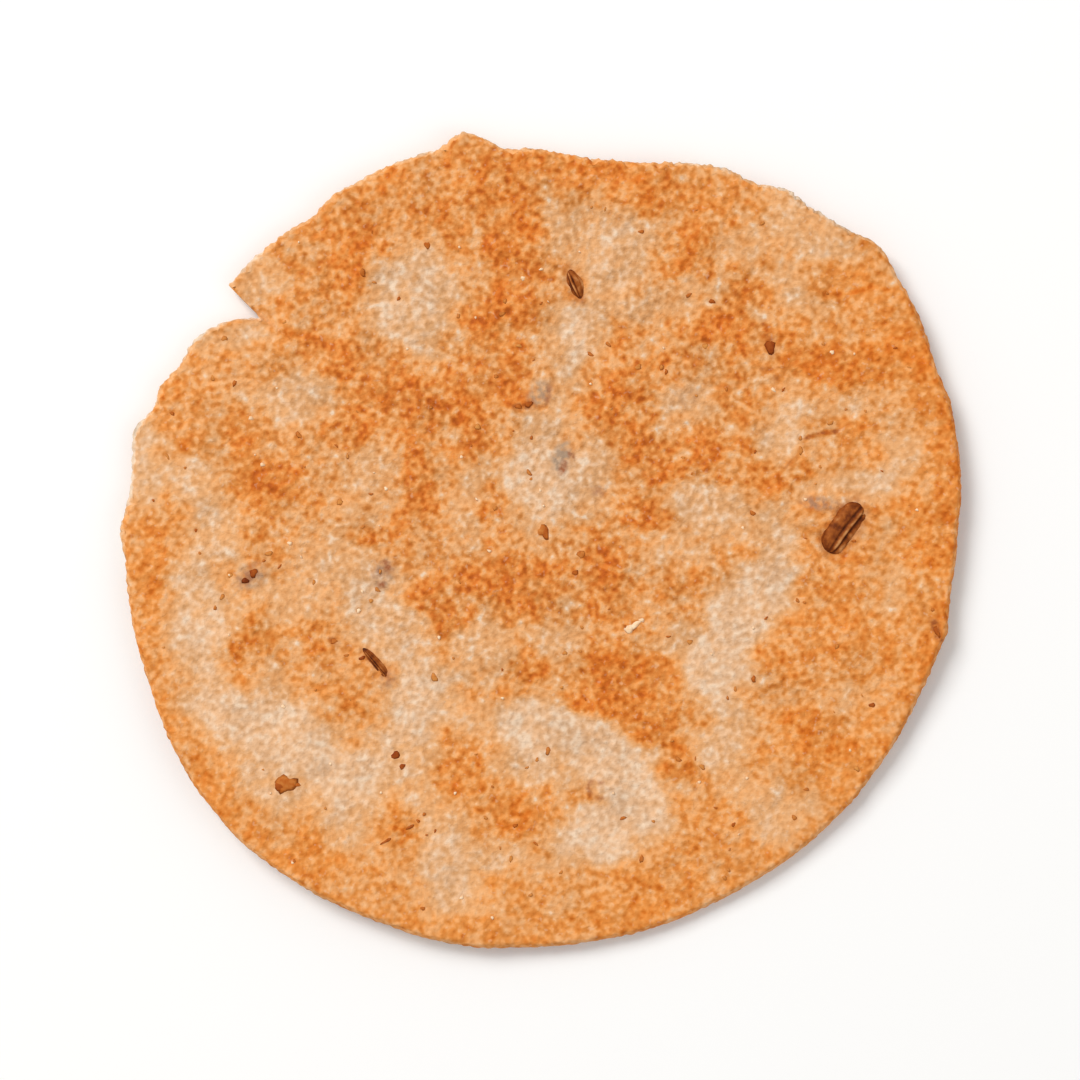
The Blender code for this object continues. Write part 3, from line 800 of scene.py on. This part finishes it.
def grid_triangles(cells, row_length):
    """Triangles of a square grid of cells, counter-clockwise, each cell cut towards the grid's corners."""
    row, column = (part.ravel() for part in np.mgrid[0:cells, 0:cells])
    a = row * row_length + column
    b, c, d = a + 1, a + row_length + 1, a + row_length
    rising = (row - (cells - 1) / 2.0) * (column - (cells - 1) / 2.0) > 0
    first = np.where(rising[:, None], np.stack([a, b, c], 1), np.stack([a, b, d], 1))
    second = np.where(rising[:, None], np.stack([a, c, d], 1), np.stack([b, c, d], 1))
    return np.concatenate([first, second])


def border(cells):
    """Numbers of a square grid's border points, once round counter-clockwise from the first corner."""
    side = np.arange(cells)
    row_length = cells + 1
    bottom = side
    right = side * row_length + cells
    top = cells * row_length + cells - side
    left = (cells - side) * row_length
    return np.concatenate([bottom, right, top, left])


def strip_triangles(upper, lower):
    """Triangles between two rings of as many points, facing outward, with upper above lower."""
    upper_next, lower_next = np.roll(upper, -1), np.roll(lower, -1)
    return np.concatenate([
        np.stack([upper, lower, lower_next], 1),
        np.stack([upper, lower_next, upper_next], 1),
    ])


def halving_triangles(upper, lower):
    """Triangles between a ring above and one below it with half as many points."""
    first, second = upper[0::2], upper[1::2]
    third, lower_next = np.roll(first, -1), np.roll(lower, -1)
    return np.concatenate([
        np.stack([first, lower, second], 1),
        np.stack([second, lower, lower_next], 1),
        np.stack([second, lower_next, third], 1),
    ])


def put(name, data):
    """A new object in the scene, at the origin and unturned."""
    thing = bpy.data.objects.new(name, data)
    bpy.context.scene.collection.objects.link(thing)
    return thing


def make_piece(name, points, triangles, finish, values):
    """A smooth mesh object from arrays of points and triangles, and its named values at each point."""
    mesh = bpy.data.meshes.new(name)
    mesh.vertices.add(len(points))
    mesh.vertices.foreach_set("co", np.ascontiguousarray(points, dtype=np.float32).ravel())
    mesh.loops.add(3 * len(triangles))
    mesh.loops.foreach_set("vertex_index", np.ascontiguousarray(triangles, dtype=np.int32).ravel())
    mesh.polygons.add(len(triangles))
    mesh.polygons.foreach_set("loop_start", np.arange(0, 3 * len(triangles), 3, dtype=np.int32))
    mesh.update(calc_edges=True)
    mesh.validate()
    for value_name, numbers in values.items():
        kind, field = ("FLOAT", "value") if numbers.ndim == 1 else ("FLOAT_VECTOR", "vector")
        layer = mesh.attributes.new(value_name, kind, "POINT")
        layer.data.foreach_set(field, np.ascontiguousarray(numbers, dtype=np.float32).ravel())
    mesh.shade_smooth()
    mesh.materials.append(finish)
    return put(name, mesh)


def crust_shell():
    """The crust as one closed shell: the top's square sheet drawn round, rows round the rim, the underside.

    A point is known by its ring (share of the radius), its angle and how far up it is, from 0 on the
    underside to 1 on top. It reaches ring times the cutter's radius, and the outline's own shape fades in
    with the fourth power of ring. Between the faces the rim bulges by the sine of the way up. The fortieth
    power of ring keeps the crumbled edge to the last millimetre.

    The crust's values: toast is from -1, pale, to 1, toasted. Grain is its fine relief, stain and husk what
    lies under the skin, and husk also the painted shade round the big seed and at the rim's nick, dried how
    clear and light it dried, and flat where the patterns are read.
    """
    def sheet(cells):
        line = np.linspace(-1.0, 1.0, cells + 1)
        across, along = np.meshgrid(line, line)
        return round_from_square(across.ravel(), along.ravel())

    top_ring, top_angle = sheet(TOP_CELLS)
    under_ring, under_angle = sheet(UNDER_CELLS)
    top_border = border(TOP_CELLS)
    rim_up = (1.0 + np.cos(np.pi * np.arange(1, RIM_ROWS + 1) / (RIM_ROWS + 1))) / 2.0
    rim_angle = np.tile(top_angle[top_border], RIM_ROWS)
    ring = np.concatenate([top_ring, np.ones_like(rim_angle), under_ring])
    angle = np.concatenate([top_angle, rim_angle, under_angle])
    up = np.concatenate([
        np.ones_like(top_ring),
        np.repeat(rim_up, len(top_border)),
        np.zeros_like(under_ring),
    ])

    ragged = ragged_share(angle)
    edge = outline_radius(angle) - RIM_ROUNDING - RIM_INSET
    reach = ring * CUTTER_RADIUS + ring**OUTLINE_FADE * (edge - CUTTER_RADIUS)
    # The dough's patterns go on round the rim: a point below the top edge is further out on the flat
    flat = reach + (1.0 - up) * RIM_WRAP * ring
    flat_x, flat_y = flat * np.cos(angle), flat * np.sin(angle)
    # Only the inward part counts, so that no crumb stands past the outline, and only the larger bites
    jag = between(CRUMBLE_DEPTHS, ragged) * (waves(flat_x, flat_y, *CRUMBLE_WAVES) - 1.2)
    bite = np.maximum(pimples(flat_x, flat_y, *BITES) - 0.25, 0.0)
    stretch = ease(0.5 + 0.6 * waves(flat_x, flat_y, *BITTEN_STRETCHES))
    bite *= BITE_DEPTH * ragged * between((BITTEN_LEAST, 1.0), stretch)
    reach += ring**CRUMBLE_FADE * np.minimum(jag - bite, 0.0)

    x, y = reach * np.cos(angle), reach * np.sin(angle)
    low, high = underside_height(x, y), top_height(x, y)
    grain = skin_relief(flat_x, flat_y, TOP_SKIN_SEED)
    on_top = top_toast(x, y) + crease_share(x, y)[1]
    from_moist = np.hypot(x - MOIST_PLACE[0], y - MOIST_PLACE[1])
    dried = np.clip((from_moist - MOIST_RADIUS) / DRYING_WIDTH, 0.0, 1.0)
    of_toast = between(PALE_TO_TOASTED_GRAIN, ease((on_top + 0.9) / 1.6))
    # The grain is let into the skin, so that its tops stay near the solid's surface
    high += SKIN_HEIGHT * (of_toast * between(MOIST_TO_DRIED_GRAIN, dried) * grain - 0.3)
    rim_share = np.sin(np.pi * up)
    bulge = rim_share * (RIM_ROUNDING + SKIN_HEIGHT * np.minimum(grain - 0.5, 0.0))
    points = centred(x + bulge * np.cos(angle), y + bulge * np.sin(angle), between((low, high), up))

    toast = rim_toast(between((under_toast(x, y), on_top), ease(up * 1.5)), ring, angle)
    toast -= rim_share * between(RIM_SIDE_PALENESS, ragged)
    upper_half = ease(up * 2.0 - 1.0)

    row = len(top_border)
    top_count, rim_count = len(top_ring), len(rim_angle)
    under_start = top_count + rim_count
    rings = [top_border] + [top_count + row * step + np.arange(row) for step in range(RIM_ROWS)]
    triangles = [grid_triangles(TOP_CELLS, TOP_CELLS + 1)]
    triangles += [strip_triangles(upper, lower) for upper, lower in zip(rings, rings[1:])]
    triangles.append(halving_triangles(rings[-1], under_start + border(UNDER_CELLS)))
    triangles.append(under_start + grid_triangles(UNDER_CELLS, UNDER_CELLS + 1)[:, ::-1])
    return points, np.concatenate(triangles), {
        "toast": toast,
        "grain": grain,
        "stain": patch_cover(x, y, SUNK_SEEDS) * upper_half,
        # husk also holds painted shade round the big seed and at the rim's nick
        "husk": husk_and_painted_shade_share(x, y) * upper_half,
        "dried": dried,
        "flat": np.stack([flat_x, flat_y, np.zeros_like(flat_x)], 1),
    }


def closed_tube(rows, spokes, start):
    """Triangles of a tube of rows by spokes points, numbered row by row from start, and closed by one more
    point at each end: the first end's comes first and the last end's last."""
    body = start + 1 + np.arange(rows * spokes).reshape(rows, spokes)
    first, last = start, start + 1 + rows * spokes
    following = np.roll(body, -1, axis=1)
    return np.concatenate([
        np.stack([np.full(spokes, first), following[0], body[0]], 1),
        np.stack([body[:-1], following[:-1], following[1:]], -1).reshape(-1, 3),
        np.stack([body[:-1], following[1:], body[1:]], -1).reshape(-1, 3),
        np.stack([np.full(spokes, last), body[-1], following[-1]], 1),
    ])


def lay(local, x, y, turn, face):
    """Turns a small form lying along x and sets it on the top (face 1) or, mirrored, underneath (-1)."""
    surface = face_height(np.array([x * MM]), np.array([y * MM]), face)[0]
    along, side, rise = local.T
    east, north = turned(along, side * face, turn)
    return centred(x * MM + east, y * MM + north, surface + rise * face)


def cumin_seeds():
    """Cumin seeds: each a spindle round its length. Its girth is the square root of 1 less a power of the
    way to the tip, high where the tips are blunt, and a slightly higher power than the root where they are
    drawn out. Lengthwise ridges, each seed's turned a little further, are deepest in the middle and die
    out at the tips, and two deeper clefts run along one side with a high ridge between them. Of the
    values, ridge is high on ridges and low in clefts, and dark is the seed's own."""
    rows, spokes = CUMIN_GRID
    along = -np.cos(np.pi * np.arange(1, rows + 1) / (rows + 1))[:, None]
    around = 2.0 * np.pi * np.arange(spokes)[None, :] / spokes
    across, upper = np.cos(around), np.sin(around) > 0

    def line(place, width):
        return np.exp(-((across - place) / width) ** 2) * upper

    cleft = line(CLEFTS_AT[0], CLEFT_WIDTH) + line(CLEFTS_AT[1], CLEFT_WIDTH)
    high_ridge = line(HIGH_RIDGE_AT, HIGH_RIDGE_WIDTH)
    points, triangles, ridges, darks = [], [], [], []
    for number, (x, y, length, width, turn, face, blunt_power, dark) in enumerate(CUMIN):
        blunt = (1.0 - np.abs(along) ** blunt_power) ** (0.5 + 0.15 * max(3.0 - blunt_power, 0.0))
        ridge = np.abs(np.cos(CUMIN_RIDGES / 2.0 * (around + 0.25 * number))) ** 0.6
        furrow = CUMIN_RIDGE_DEPTH * (1.0 - ridge) + CLEFT_DEPTH * cleft
        girth = width * MM / 2.0 * blunt * (1.0 + CUMIN_TAPER * along) * (1.0 - furrow * blunt)
        sunk = CUMIN_SUNK * width * MM
        local = np.stack([
            np.broadcast_to(along * length * MM / 2.0, girth.shape),
            girth * across + CUMIN_BOW * width * MM * (1.0 - along**2),
            girth * np.sin(around) * CUMIN_FLATNESS - sunk,
        ], -1).reshape(-1, 3)
        tip = np.array([[length * MM / 2.0, 0.0, -sunk]])
        local = np.concatenate([tip * [-1, 1, 1], local, tip])
        if face < 0:
            local[:, 2] = local[:, 2] * UNDER_SEED_FLATNESS - UNDER_SEED_SUNK
        triangles.append(closed_tube(rows, spokes, number * len(local)))
        points.append(lay(local, x, y, turn, face))
        crest = (0.35 + 0.3 * ridge + 0.5 * high_ridge) * (1.0 - 0.9 * cleft) * blunt
        ridges.append(np.pad(crest.ravel(), 1))
        darks.append(np.full(len(local), dark))
    values = {"ridge": np.concatenate(ridges), "dark": np.concatenate(darks)}
    return np.concatenate(points), np.concatenate(triangles), values


def scatter_small(count, lengths, slimness, seed, face):
    """Small things over a face, as (x, y, length, width in millimetres, turn), and the draw that made them.
    The root spreads them evenly, and the square makes most of them short."""
    draw = np.random.default_rng(seed)
    inner = FREE_MIDDLE if face < 0 else 0.0
    outward = np.sqrt(between((inner**2, 1.0), draw.random(count)))
    angle = 2.0 * np.pi * draw.random(count)
    reach = outward * (outline_radius(angle) - FREE_RIM)
    length = between(lengths, draw.random(count) ** 2)
    width = length * between(slimness, draw.random(count))
    turn = 360.0 * draw.random(count)
    x, y = reach * np.cos(angle), reach * np.sin(angle)
    return np.stack([x / MM, y / MM, length / MM, width / MM, turn], 1), draw


def flakes(table, rise, seed, face):
    """Thin scales that follow the skin: two rings of points round a middle one, each ring an ellipse with
    slow waves to the round on it. The middle is highest and the outer ring just under the skin, and one
    point closes each scale below."""
    draw = np.random.default_rng(seed)
    count = len(table)
    x, y, length, width, turn = (column[:, None] for column in table.T)
    around = 2.0 * np.pi * np.arange(FLAKE_SPOKES)[None, :] / FLAKE_SPOKES
    uneven = np.ones((count, FLAKE_SPOKES))
    for waves_round, depth in FLAKE_WAVES:
        uneven += depth * np.cos(waves_round * around + 2.0 * np.pi * draw.random((count, 1)))
    along = uneven * length * MM / 2.0 * np.cos(around)
    side = uneven * width * MM / 2.0 * np.sin(around)
    rings = []
    for share, lift in FLAKE_RINGS:
        spokes = FLAKE_SPOKES if share else 1
        east, north = turned(share * along[:, :spokes], share * side[:, :spokes], turn)
        east, north = east + x * MM, north + y * MM
        height = face_height(east, north, face) + face * lift * rise
        rings.append(centred(east, north, np.maximum(height, 0.0)))
    points = np.concatenate(rings, 1)
    one = closed_tube(2, FLAKE_SPOKES, 0)
    if face > 0:
        one = one[:, ::-1]
    triangles = one[None] + points.shape[1] * np.arange(count)[:, None, None]
    return points.reshape(-1, 3), triangles.reshape(-1, 3)


def both_faces(top, under, rise, seed):
    """Flakes on the top from the first table and on the underside from the second, as one mesh."""
    top_points, top_triangles = flakes(top, rise, seed, 1)
    under_points, under_triangles = flakes(under, rise, seed + 1, -1)
    triangles = np.concatenate([top_triangles, under_triangles + len(top_points)])
    return np.concatenate([top_points, under_points]), triangles


def bran_flakes():
    """The larger bran and the fine bran, which is mostly pale: its darkness goes with a draw's square."""
    marks = np.array(BRAN_MARKS)
    fine = (FINE_BRAN_COUNT, FINE_BRAN_LENGTHS, FINE_BRAN_SLIMNESS)
    top, draw = scatter_small(*fine, FINE_BRAN_SEEDS[0], 1)
    under = scatter_small(*fine, FINE_BRAN_SEEDS[1], -1)[0]
    darkness = np.concatenate([marks[:, 5], 0.05 + 0.4 * draw.random(2 * FINE_BRAN_COUNT) ** 2])
    top = np.concatenate([marks[:, :5], top])
    points, triangles = both_faces(top, under, FLAKE_RISE, FLAKE_EDGE_SEED)
    return points, triangles, {"darkness": np.repeat(darkness, len(points) // len(darkness))}


def dough_crumbs_and_painted_highlight():
    """The larger crumbs, one painted highlight among them, and specks of loose flour."""
    flour = (FLOUR_COUNT, FLOUR_LENGTHS, FLOUR_SLIMNESS)
    top = scatter_small(*flour, FLOUR_SEEDS[0], 1)[0]
    under = scatter_small(*flour, FLOUR_SEEDS[1], -1)[0]
    top = np.concatenate([np.array(CRUMBS_AND_PAINTED_HIGHLIGHT), top])
    return *both_faces(top, under, CRUMB_RISE, CRUMB_EDGE_SEED), {}


def srgb(hex_colour):
    """An sRGB hex colour as linear red, green, blue and 1."""
    parts = np.array([int(hex_colour[start:start + 2], 16) for start in (1, 3, 5)]) / 255.0
    linear = np.where(parts <= 0.04045, parts / 12.92, ((parts + 0.055) / 1.055) ** 2.4)
    return (*linear.tolist(), 1.0)


def add(tree, kind, inputs=None, **settings):
    """Adds one node. Settings are its own properties, and inputs the values of its sockets or the sockets
    that feed them."""
    node = tree.nodes.new(kind)
    for name, value in settings.items():
        setattr(node, name, value)
    for socket, value in (inputs or {}).items():
        if isinstance(value, bpy.types.NodeSocket):
            tree.links.new(value, node.inputs[socket])
        else:
            node.inputs[socket].default_value = value
    return node


def new_finish(name, roughness, ior, gloss):
    """A material with no metal in it: the material, its node tree and its shader."""
    finish = bpy.data.materials.new(name)
    finish.use_nodes = True
    shader = finish.node_tree.nodes["Principled BSDF"]
    settings = {"Metallic": 0.0, "Roughness": roughness, "IOR": ior, "Specular IOR Level": gloss}
    for socket, value in settings.items():
        shader.inputs[socket].default_value = value
    return finish, finish.node_tree, shader


def attribute(tree, name):
    """The value that the mesh has under a name."""
    return add(tree, "ShaderNodeAttribute", attribute_name=name).outputs["Fac"]


def noise(tree, place, size, detail, dimensions="3D", **inputs):
    """Soft noise, its scale one to the size in millimetres."""
    inputs.update({"Vector": place, "Scale": 1.0 / (size * MM), "Detail": detail})
    return add(tree, "ShaderNodeTexNoise", inputs, noise_dimensions=dimensions).outputs["Fac"]


def spread(tree, value, low, high, new_low=0.0, new_high=1.0):
    """A value between low and high, spread over new ends."""
    return add(tree, "ShaderNodeMapRange", {
        "Value": value, "From Min": low, "From Max": high, "To Min": new_low, "To Max": new_high,
    }).outputs["Result"]


def scale(tree, value, factor, onto=0.0, **settings):
    """A value times another, plus a third."""
    inputs = {0: value, 1: factor, 2: onto}
    return add(tree, "ShaderNodeMath", inputs, operation="MULTIPLY_ADD", **settings).outputs[0]


def weigh(tree, middle, onto, *shares):
    """Patterns' distances from their middle, each weighed, one after the other laid onto a value."""
    for pattern, weight in shares:
        away = add(tree, "ShaderNodeMath", {0: pattern, 1: middle}, operation="SUBTRACT").outputs[0]
        onto = scale(tree, away, weight, onto)
    return onto


def ramp(tree, value, *stops):
    """The colour at a value between 0 and 1, from stops of a place and a colour."""
    node = add(tree, "ShaderNodeValToRGB", {"Fac": value})
    elements = node.color_ramp.elements
    while len(elements) < len(stops):
        elements.new(1.0)
    for element, (place, colour) in zip(elements, stops):
        element.position = place
        element.color = srgb(colour)
    return node.outputs["Color"]


def bumpy(tree, shader, height, strength, distance):
    """Relief too fine for the mesh."""
    inputs = {"Height": height, "Strength": strength, "Distance": distance}
    tree.links.new(add(tree, "ShaderNodeBump", inputs).outputs["Normal"], shader.inputs["Normal"])


def roasted_crust():
    """Wholewheat dough, rolled and roasted dry on a griddle. Dry starch scatters light evenly: the eye sees
    a matt, sandy skin, cream where it stayed off the iron and orange brown where it touched, in grains of
    0.5 to 2 mm."""
    finish, tree, shader = new_finish("roasted_wholewheat_crust", 0.8, 1.45, 0.16)
    place = add(tree, "ShaderNodeAttribute", attribute_name="flat").outputs["Vector"]
    toast, dried = attribute(tree, "toast"), attribute(tree, "dried")

    # The patterns lie on the flat dough: drifts about 6 mm across, blots about 4 mm, clots about 2 mm, and
    # grains about 0.8 mm in two layers that are turned against each other, so that no rows show
    def speckle(size, detail, turn):
        inputs = {"Vector": place, "Rotation": (0.0, 0.0, np.radians(turn))}
        flat = add(tree, "ShaderNodeMapping", inputs).outputs["Vector"]
        return noise(tree, flat, size, detail, "2D", Roughness=0.4)

    drifts, blots, clots = speckle(3.20, 0.0, 29.0), speckle(2.20, 0.0, 53.0), speckle(1.15, 1.0, 17.0)
    grains, other_grains = speckle(0.53, 0.7, 38.0), speckle(0.60, 0.7, 71.0)

    # Each pattern adds its share to the toasting. Pale places are even and toasted ones mottled, and both
    # less so towards the rim
    mottle = weigh(tree, 0.5, 0.0, (blots, 0.8), (clots, 2.0), (grains, 1.3), (other_grains, 1.3))
    mottle = weigh(tree, 0.1, mottle, (attribute(tree, "grain"), 0.15))
    sandy = scale(tree, dried, -0.34, 1.11)
    mottled = scale(tree, spread(tree, toast, -0.8, 0.2, 0.20, 0.92), sandy)
    level = scale(tree, mottle, mottled, toast)
    colour = ramp(
        tree, spread(tree, level, -1.4, 1.6), (0.00, "#e2cab0"), (0.16, "#e1c3a5"), (0.225, "#e0b48c"),
        (0.32, "#dfa671"), (0.47, "#e19d60"), (0.58, "#dd8e47"), (0.72, "#d98035"), (0.83, "#d27021"),
        (1.00, "#c45e14"),
    )

    # What toasted less is also more like raw flour and lighter, and what toasted more is denser and darker
    light = weigh(tree, 0.5, 0.0, (grains, -0.50), (other_grains, -0.50), (clots, -0.05), (drifts, 0.32))
    light = scale(tree, light, scale(tree, spread(tree, toast, -0.8, 0.0, 0.69, 0.77), sandy), 0.98)
    light = add(tree, "ShaderNodeMath", {0: light, 1: 1.08}, operation="MINIMUM").outputs[0]

    # Towards the rim, and most at the lower edge, the skin dried to a clearer and lighter orange
    colour = add(tree, "ShaderNodeHueSaturation", {
        "Color": colour,
        "Saturation": scale(tree, dried, 0.010, 0.997),
        "Value": scale(tree, light, scale(tree, dried, 0.055, 0.98)),
    }).outputs["Color"]

    # Laid over the colour, each by its share: pinprick scorches about 0.4 mm wide, only where it toasted,
    # loose flour and painted highlights in specks about 0.3 mm wide, and in blotches about 0.6 mm wide the
    # grey of a seed under the skin and the brown of husk, with painted shade round the big seed and at the
    # rim's nick.
    # Sockets 0, 6 and 7 of a mix are the share and the two colours
    scorched = spread(tree, noise(tree, place, 0.60, 1.0, "4D", W=3.0), 0.62, 0.74, 0.0, 0.5)
    # Loose flour and painted highlights: cream specks that stand in part for glints
    flour_and_glint_specks = spread(tree, noise(tree, place, 0.42, 1.0, "4D", W=7.0), 0.62, 0.74, 0.0, 0.2)
    uneven = spread(tree, speckle(0.60, 2.0, 5.0), 0.35, 0.65, 0.35, 1.25)
    for share, tint in (
        (scale(tree, scorched, spread(tree, toast, -0.2, 1.1)), "#b4541b"),
        (flour_and_glint_specks, "#f0d9bd"),
        (scale(tree, attribute(tree, "stain"), uneven, use_clamp=True), "#a88c73"),
        # The husk blotches also paint shade round the big seed and at the rim's nick
        (scale(tree, attribute(tree, "husk"), uneven, use_clamp=True), "#9c5226"),
    ):
        inputs = {0: share, 6: colour, 7: srgb(tint)}
        colour = add(tree, "ShaderNodeMix", inputs, data_type="RGBA").outputs[2]
    tree.links.new(colour, shader.inputs["Base Color"])

    # Toasted skin is a little smoother than flour
    tree.links.new(spread(tree, level, -1.0, 1.2, 0.86, 0.62), shader.inputs["Roughness"])

    # Tiny blisters and grit, up to 0.10 mm high
    domes = weigh(tree, 0.5, 1.0, (noise(tree, place, 0.26, 2.0), 0.8), (grains, -1.0))
    bumpy(tree, shader, domes, 1.0, 0.10 * MM)
    return finish


def dried_cumin():
    """Dried cumin, roasted in the dough: tan ridges over dark brown furrows, dull, with barely any gloss.
    Its blotches are husk fibres and scorches about 0.8 mm across."""
    finish, tree, shader = new_finish("roasted_cumin_husk", 0.65, 1.47, 0.12)
    blotch = noise(tree, add(tree, "ShaderNodeTexCoord").outputs["Object"], 0.80, 3.0)
    level = scale(tree, attribute(tree, "dark"), -1.0, scale(tree, blotch, 2.0, attribute(tree, "ridge")))
    colour = ramp(
        tree, spread(tree, level, 0.70, 2.10), (0.00, "#2f0f03"), (0.35, "#6b2e08"), (0.65, "#9c521b"),
        (1.00, "#cf9259"),
    )
    tree.links.new(colour, shader.inputs["Base Color"])
    bumpy(tree, shader, blotch, 0.8, 0.04 * MM)
    return finish


def wheat_bran():
    """Flakes of wheat bran and seed husk, toasted: thin, dull, from tan to dark reddish brown."""
    finish, tree, shader = new_finish("toasted_wheat_bran", 0.7, 1.45, 0.15)
    blotch = noise(tree, add(tree, "ShaderNodeTexCoord").outputs["Object"], 0.35, 2.0)
    level = scale(tree, blotch, 0.5, attribute(tree, "darkness"))
    colour = ramp(
        tree, spread(tree, level, 0.15, 1.25), (0.00, "#d59149"), (0.40, "#b35d1c"), (0.70, "#8b3a0a"),
        (1.00, "#571f02"),
    )
    tree.links.new(colour, shader.inputs["Base Color"])
    return finish


def crumb_and_highlight_finish():
    """Crumbs of unroasted dough and flour, and one painted highlight: cream, chalky and soft to the light.
    """
    finish, tree, shader = new_finish("pale_crumb_and_painted_highlight", 0.85, 1.45, 0.5)
    blotch = noise(tree, add(tree, "ShaderNodeTexCoord").outputs["Object"], 0.3, 2.0)
    colour = ramp(tree, blotch, (0.30, "#e8b989"), (0.65, "#f6d8b3"))
    tree.links.new(colour, shader.inputs["Base Color"])
    return finish


def make_camera():
    """A camera straight above, as in the photograph, with +Y up in the picture."""
    data = bpy.data.cameras.new("camera_above")
    data.lens = LENS
    data.sensor_width = SENSOR
    data.clip_start = 0.01
    camera = put("camera_above", data)
    camera.location = (0.0, 0.0, 2.0 * MM + PICTURE_WIDTH * LENS / SENSOR)
    bpy.context.scene.camera = camera


def make_light(name, place, size, power):
    """A square soft box of a size in metres and a power in watts, facing the khakhra."""
    data = bpy.data.lights.new(name, "AREA")
    data.size = size
    data.energy = power
    light = put(name, data)
    light.location = place
    tilt = np.arctan2(np.hypot(place[0], place[1]), place[2])
    light.rotation_euler = (0.0, tilt, np.arctan2(place[1], place[0]))


def make_studio():
    """A white paper floor, even light from all round and one soft box at the upper left."""
    finish, _, shader = new_finish("white_paper_floor", 0.95, 1.5, 0.5)
    shader.inputs["Base Color"].default_value = srgb("#f6f5f3")
    half, low = 3.0, -0.02 * MM
    corners = np.array([(-half, -half, low), (half, -half, low), (half, half, low), (-half, half, low)])
    floor = make_piece("floor", corners, np.array([(0, 1, 2), (0, 2, 3)]), finish, {})
    world = bpy.data.worlds.new("studio")
    world.use_nodes = True
    world.node_tree.nodes["Background"].inputs["Color"].default_value = srgb("#ffffff")
    world.node_tree.nodes["Background"].inputs["Strength"].default_value = 0.52
    bpy.context.scene.world = world
    make_light("soft_box", (-0.48, 0.50, 0.72), 0.45, 7.6)
    make_light("fill", (0.70, -0.35, 0.60), 0.60, 1.2)
    bpy.context.scene.view_settings.view_transform = "Standard"


def main():
    make_camera()
    make_studio()
    for name, slot, finish, (points, triangles, values) in (
        ("khakhra_crust", "roasted_crust", roasted_crust(), crust_shell()),
        ("cumin_seeds", "cumin_seed", dried_cumin(), cumin_seeds()),
        ("bran_flakes", "wheat_bran", wheat_bran(), bran_flakes()),
        ("dough_crumbs_and_painted_highlight", "roasted_crust", crumb_and_highlight_finish(), dough_crumbs_and_painted_highlight()),
    ):
        piece = make_piece(name, points, triangles, finish, values)
        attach(piece, "root")
        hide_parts("khakhra")


main()
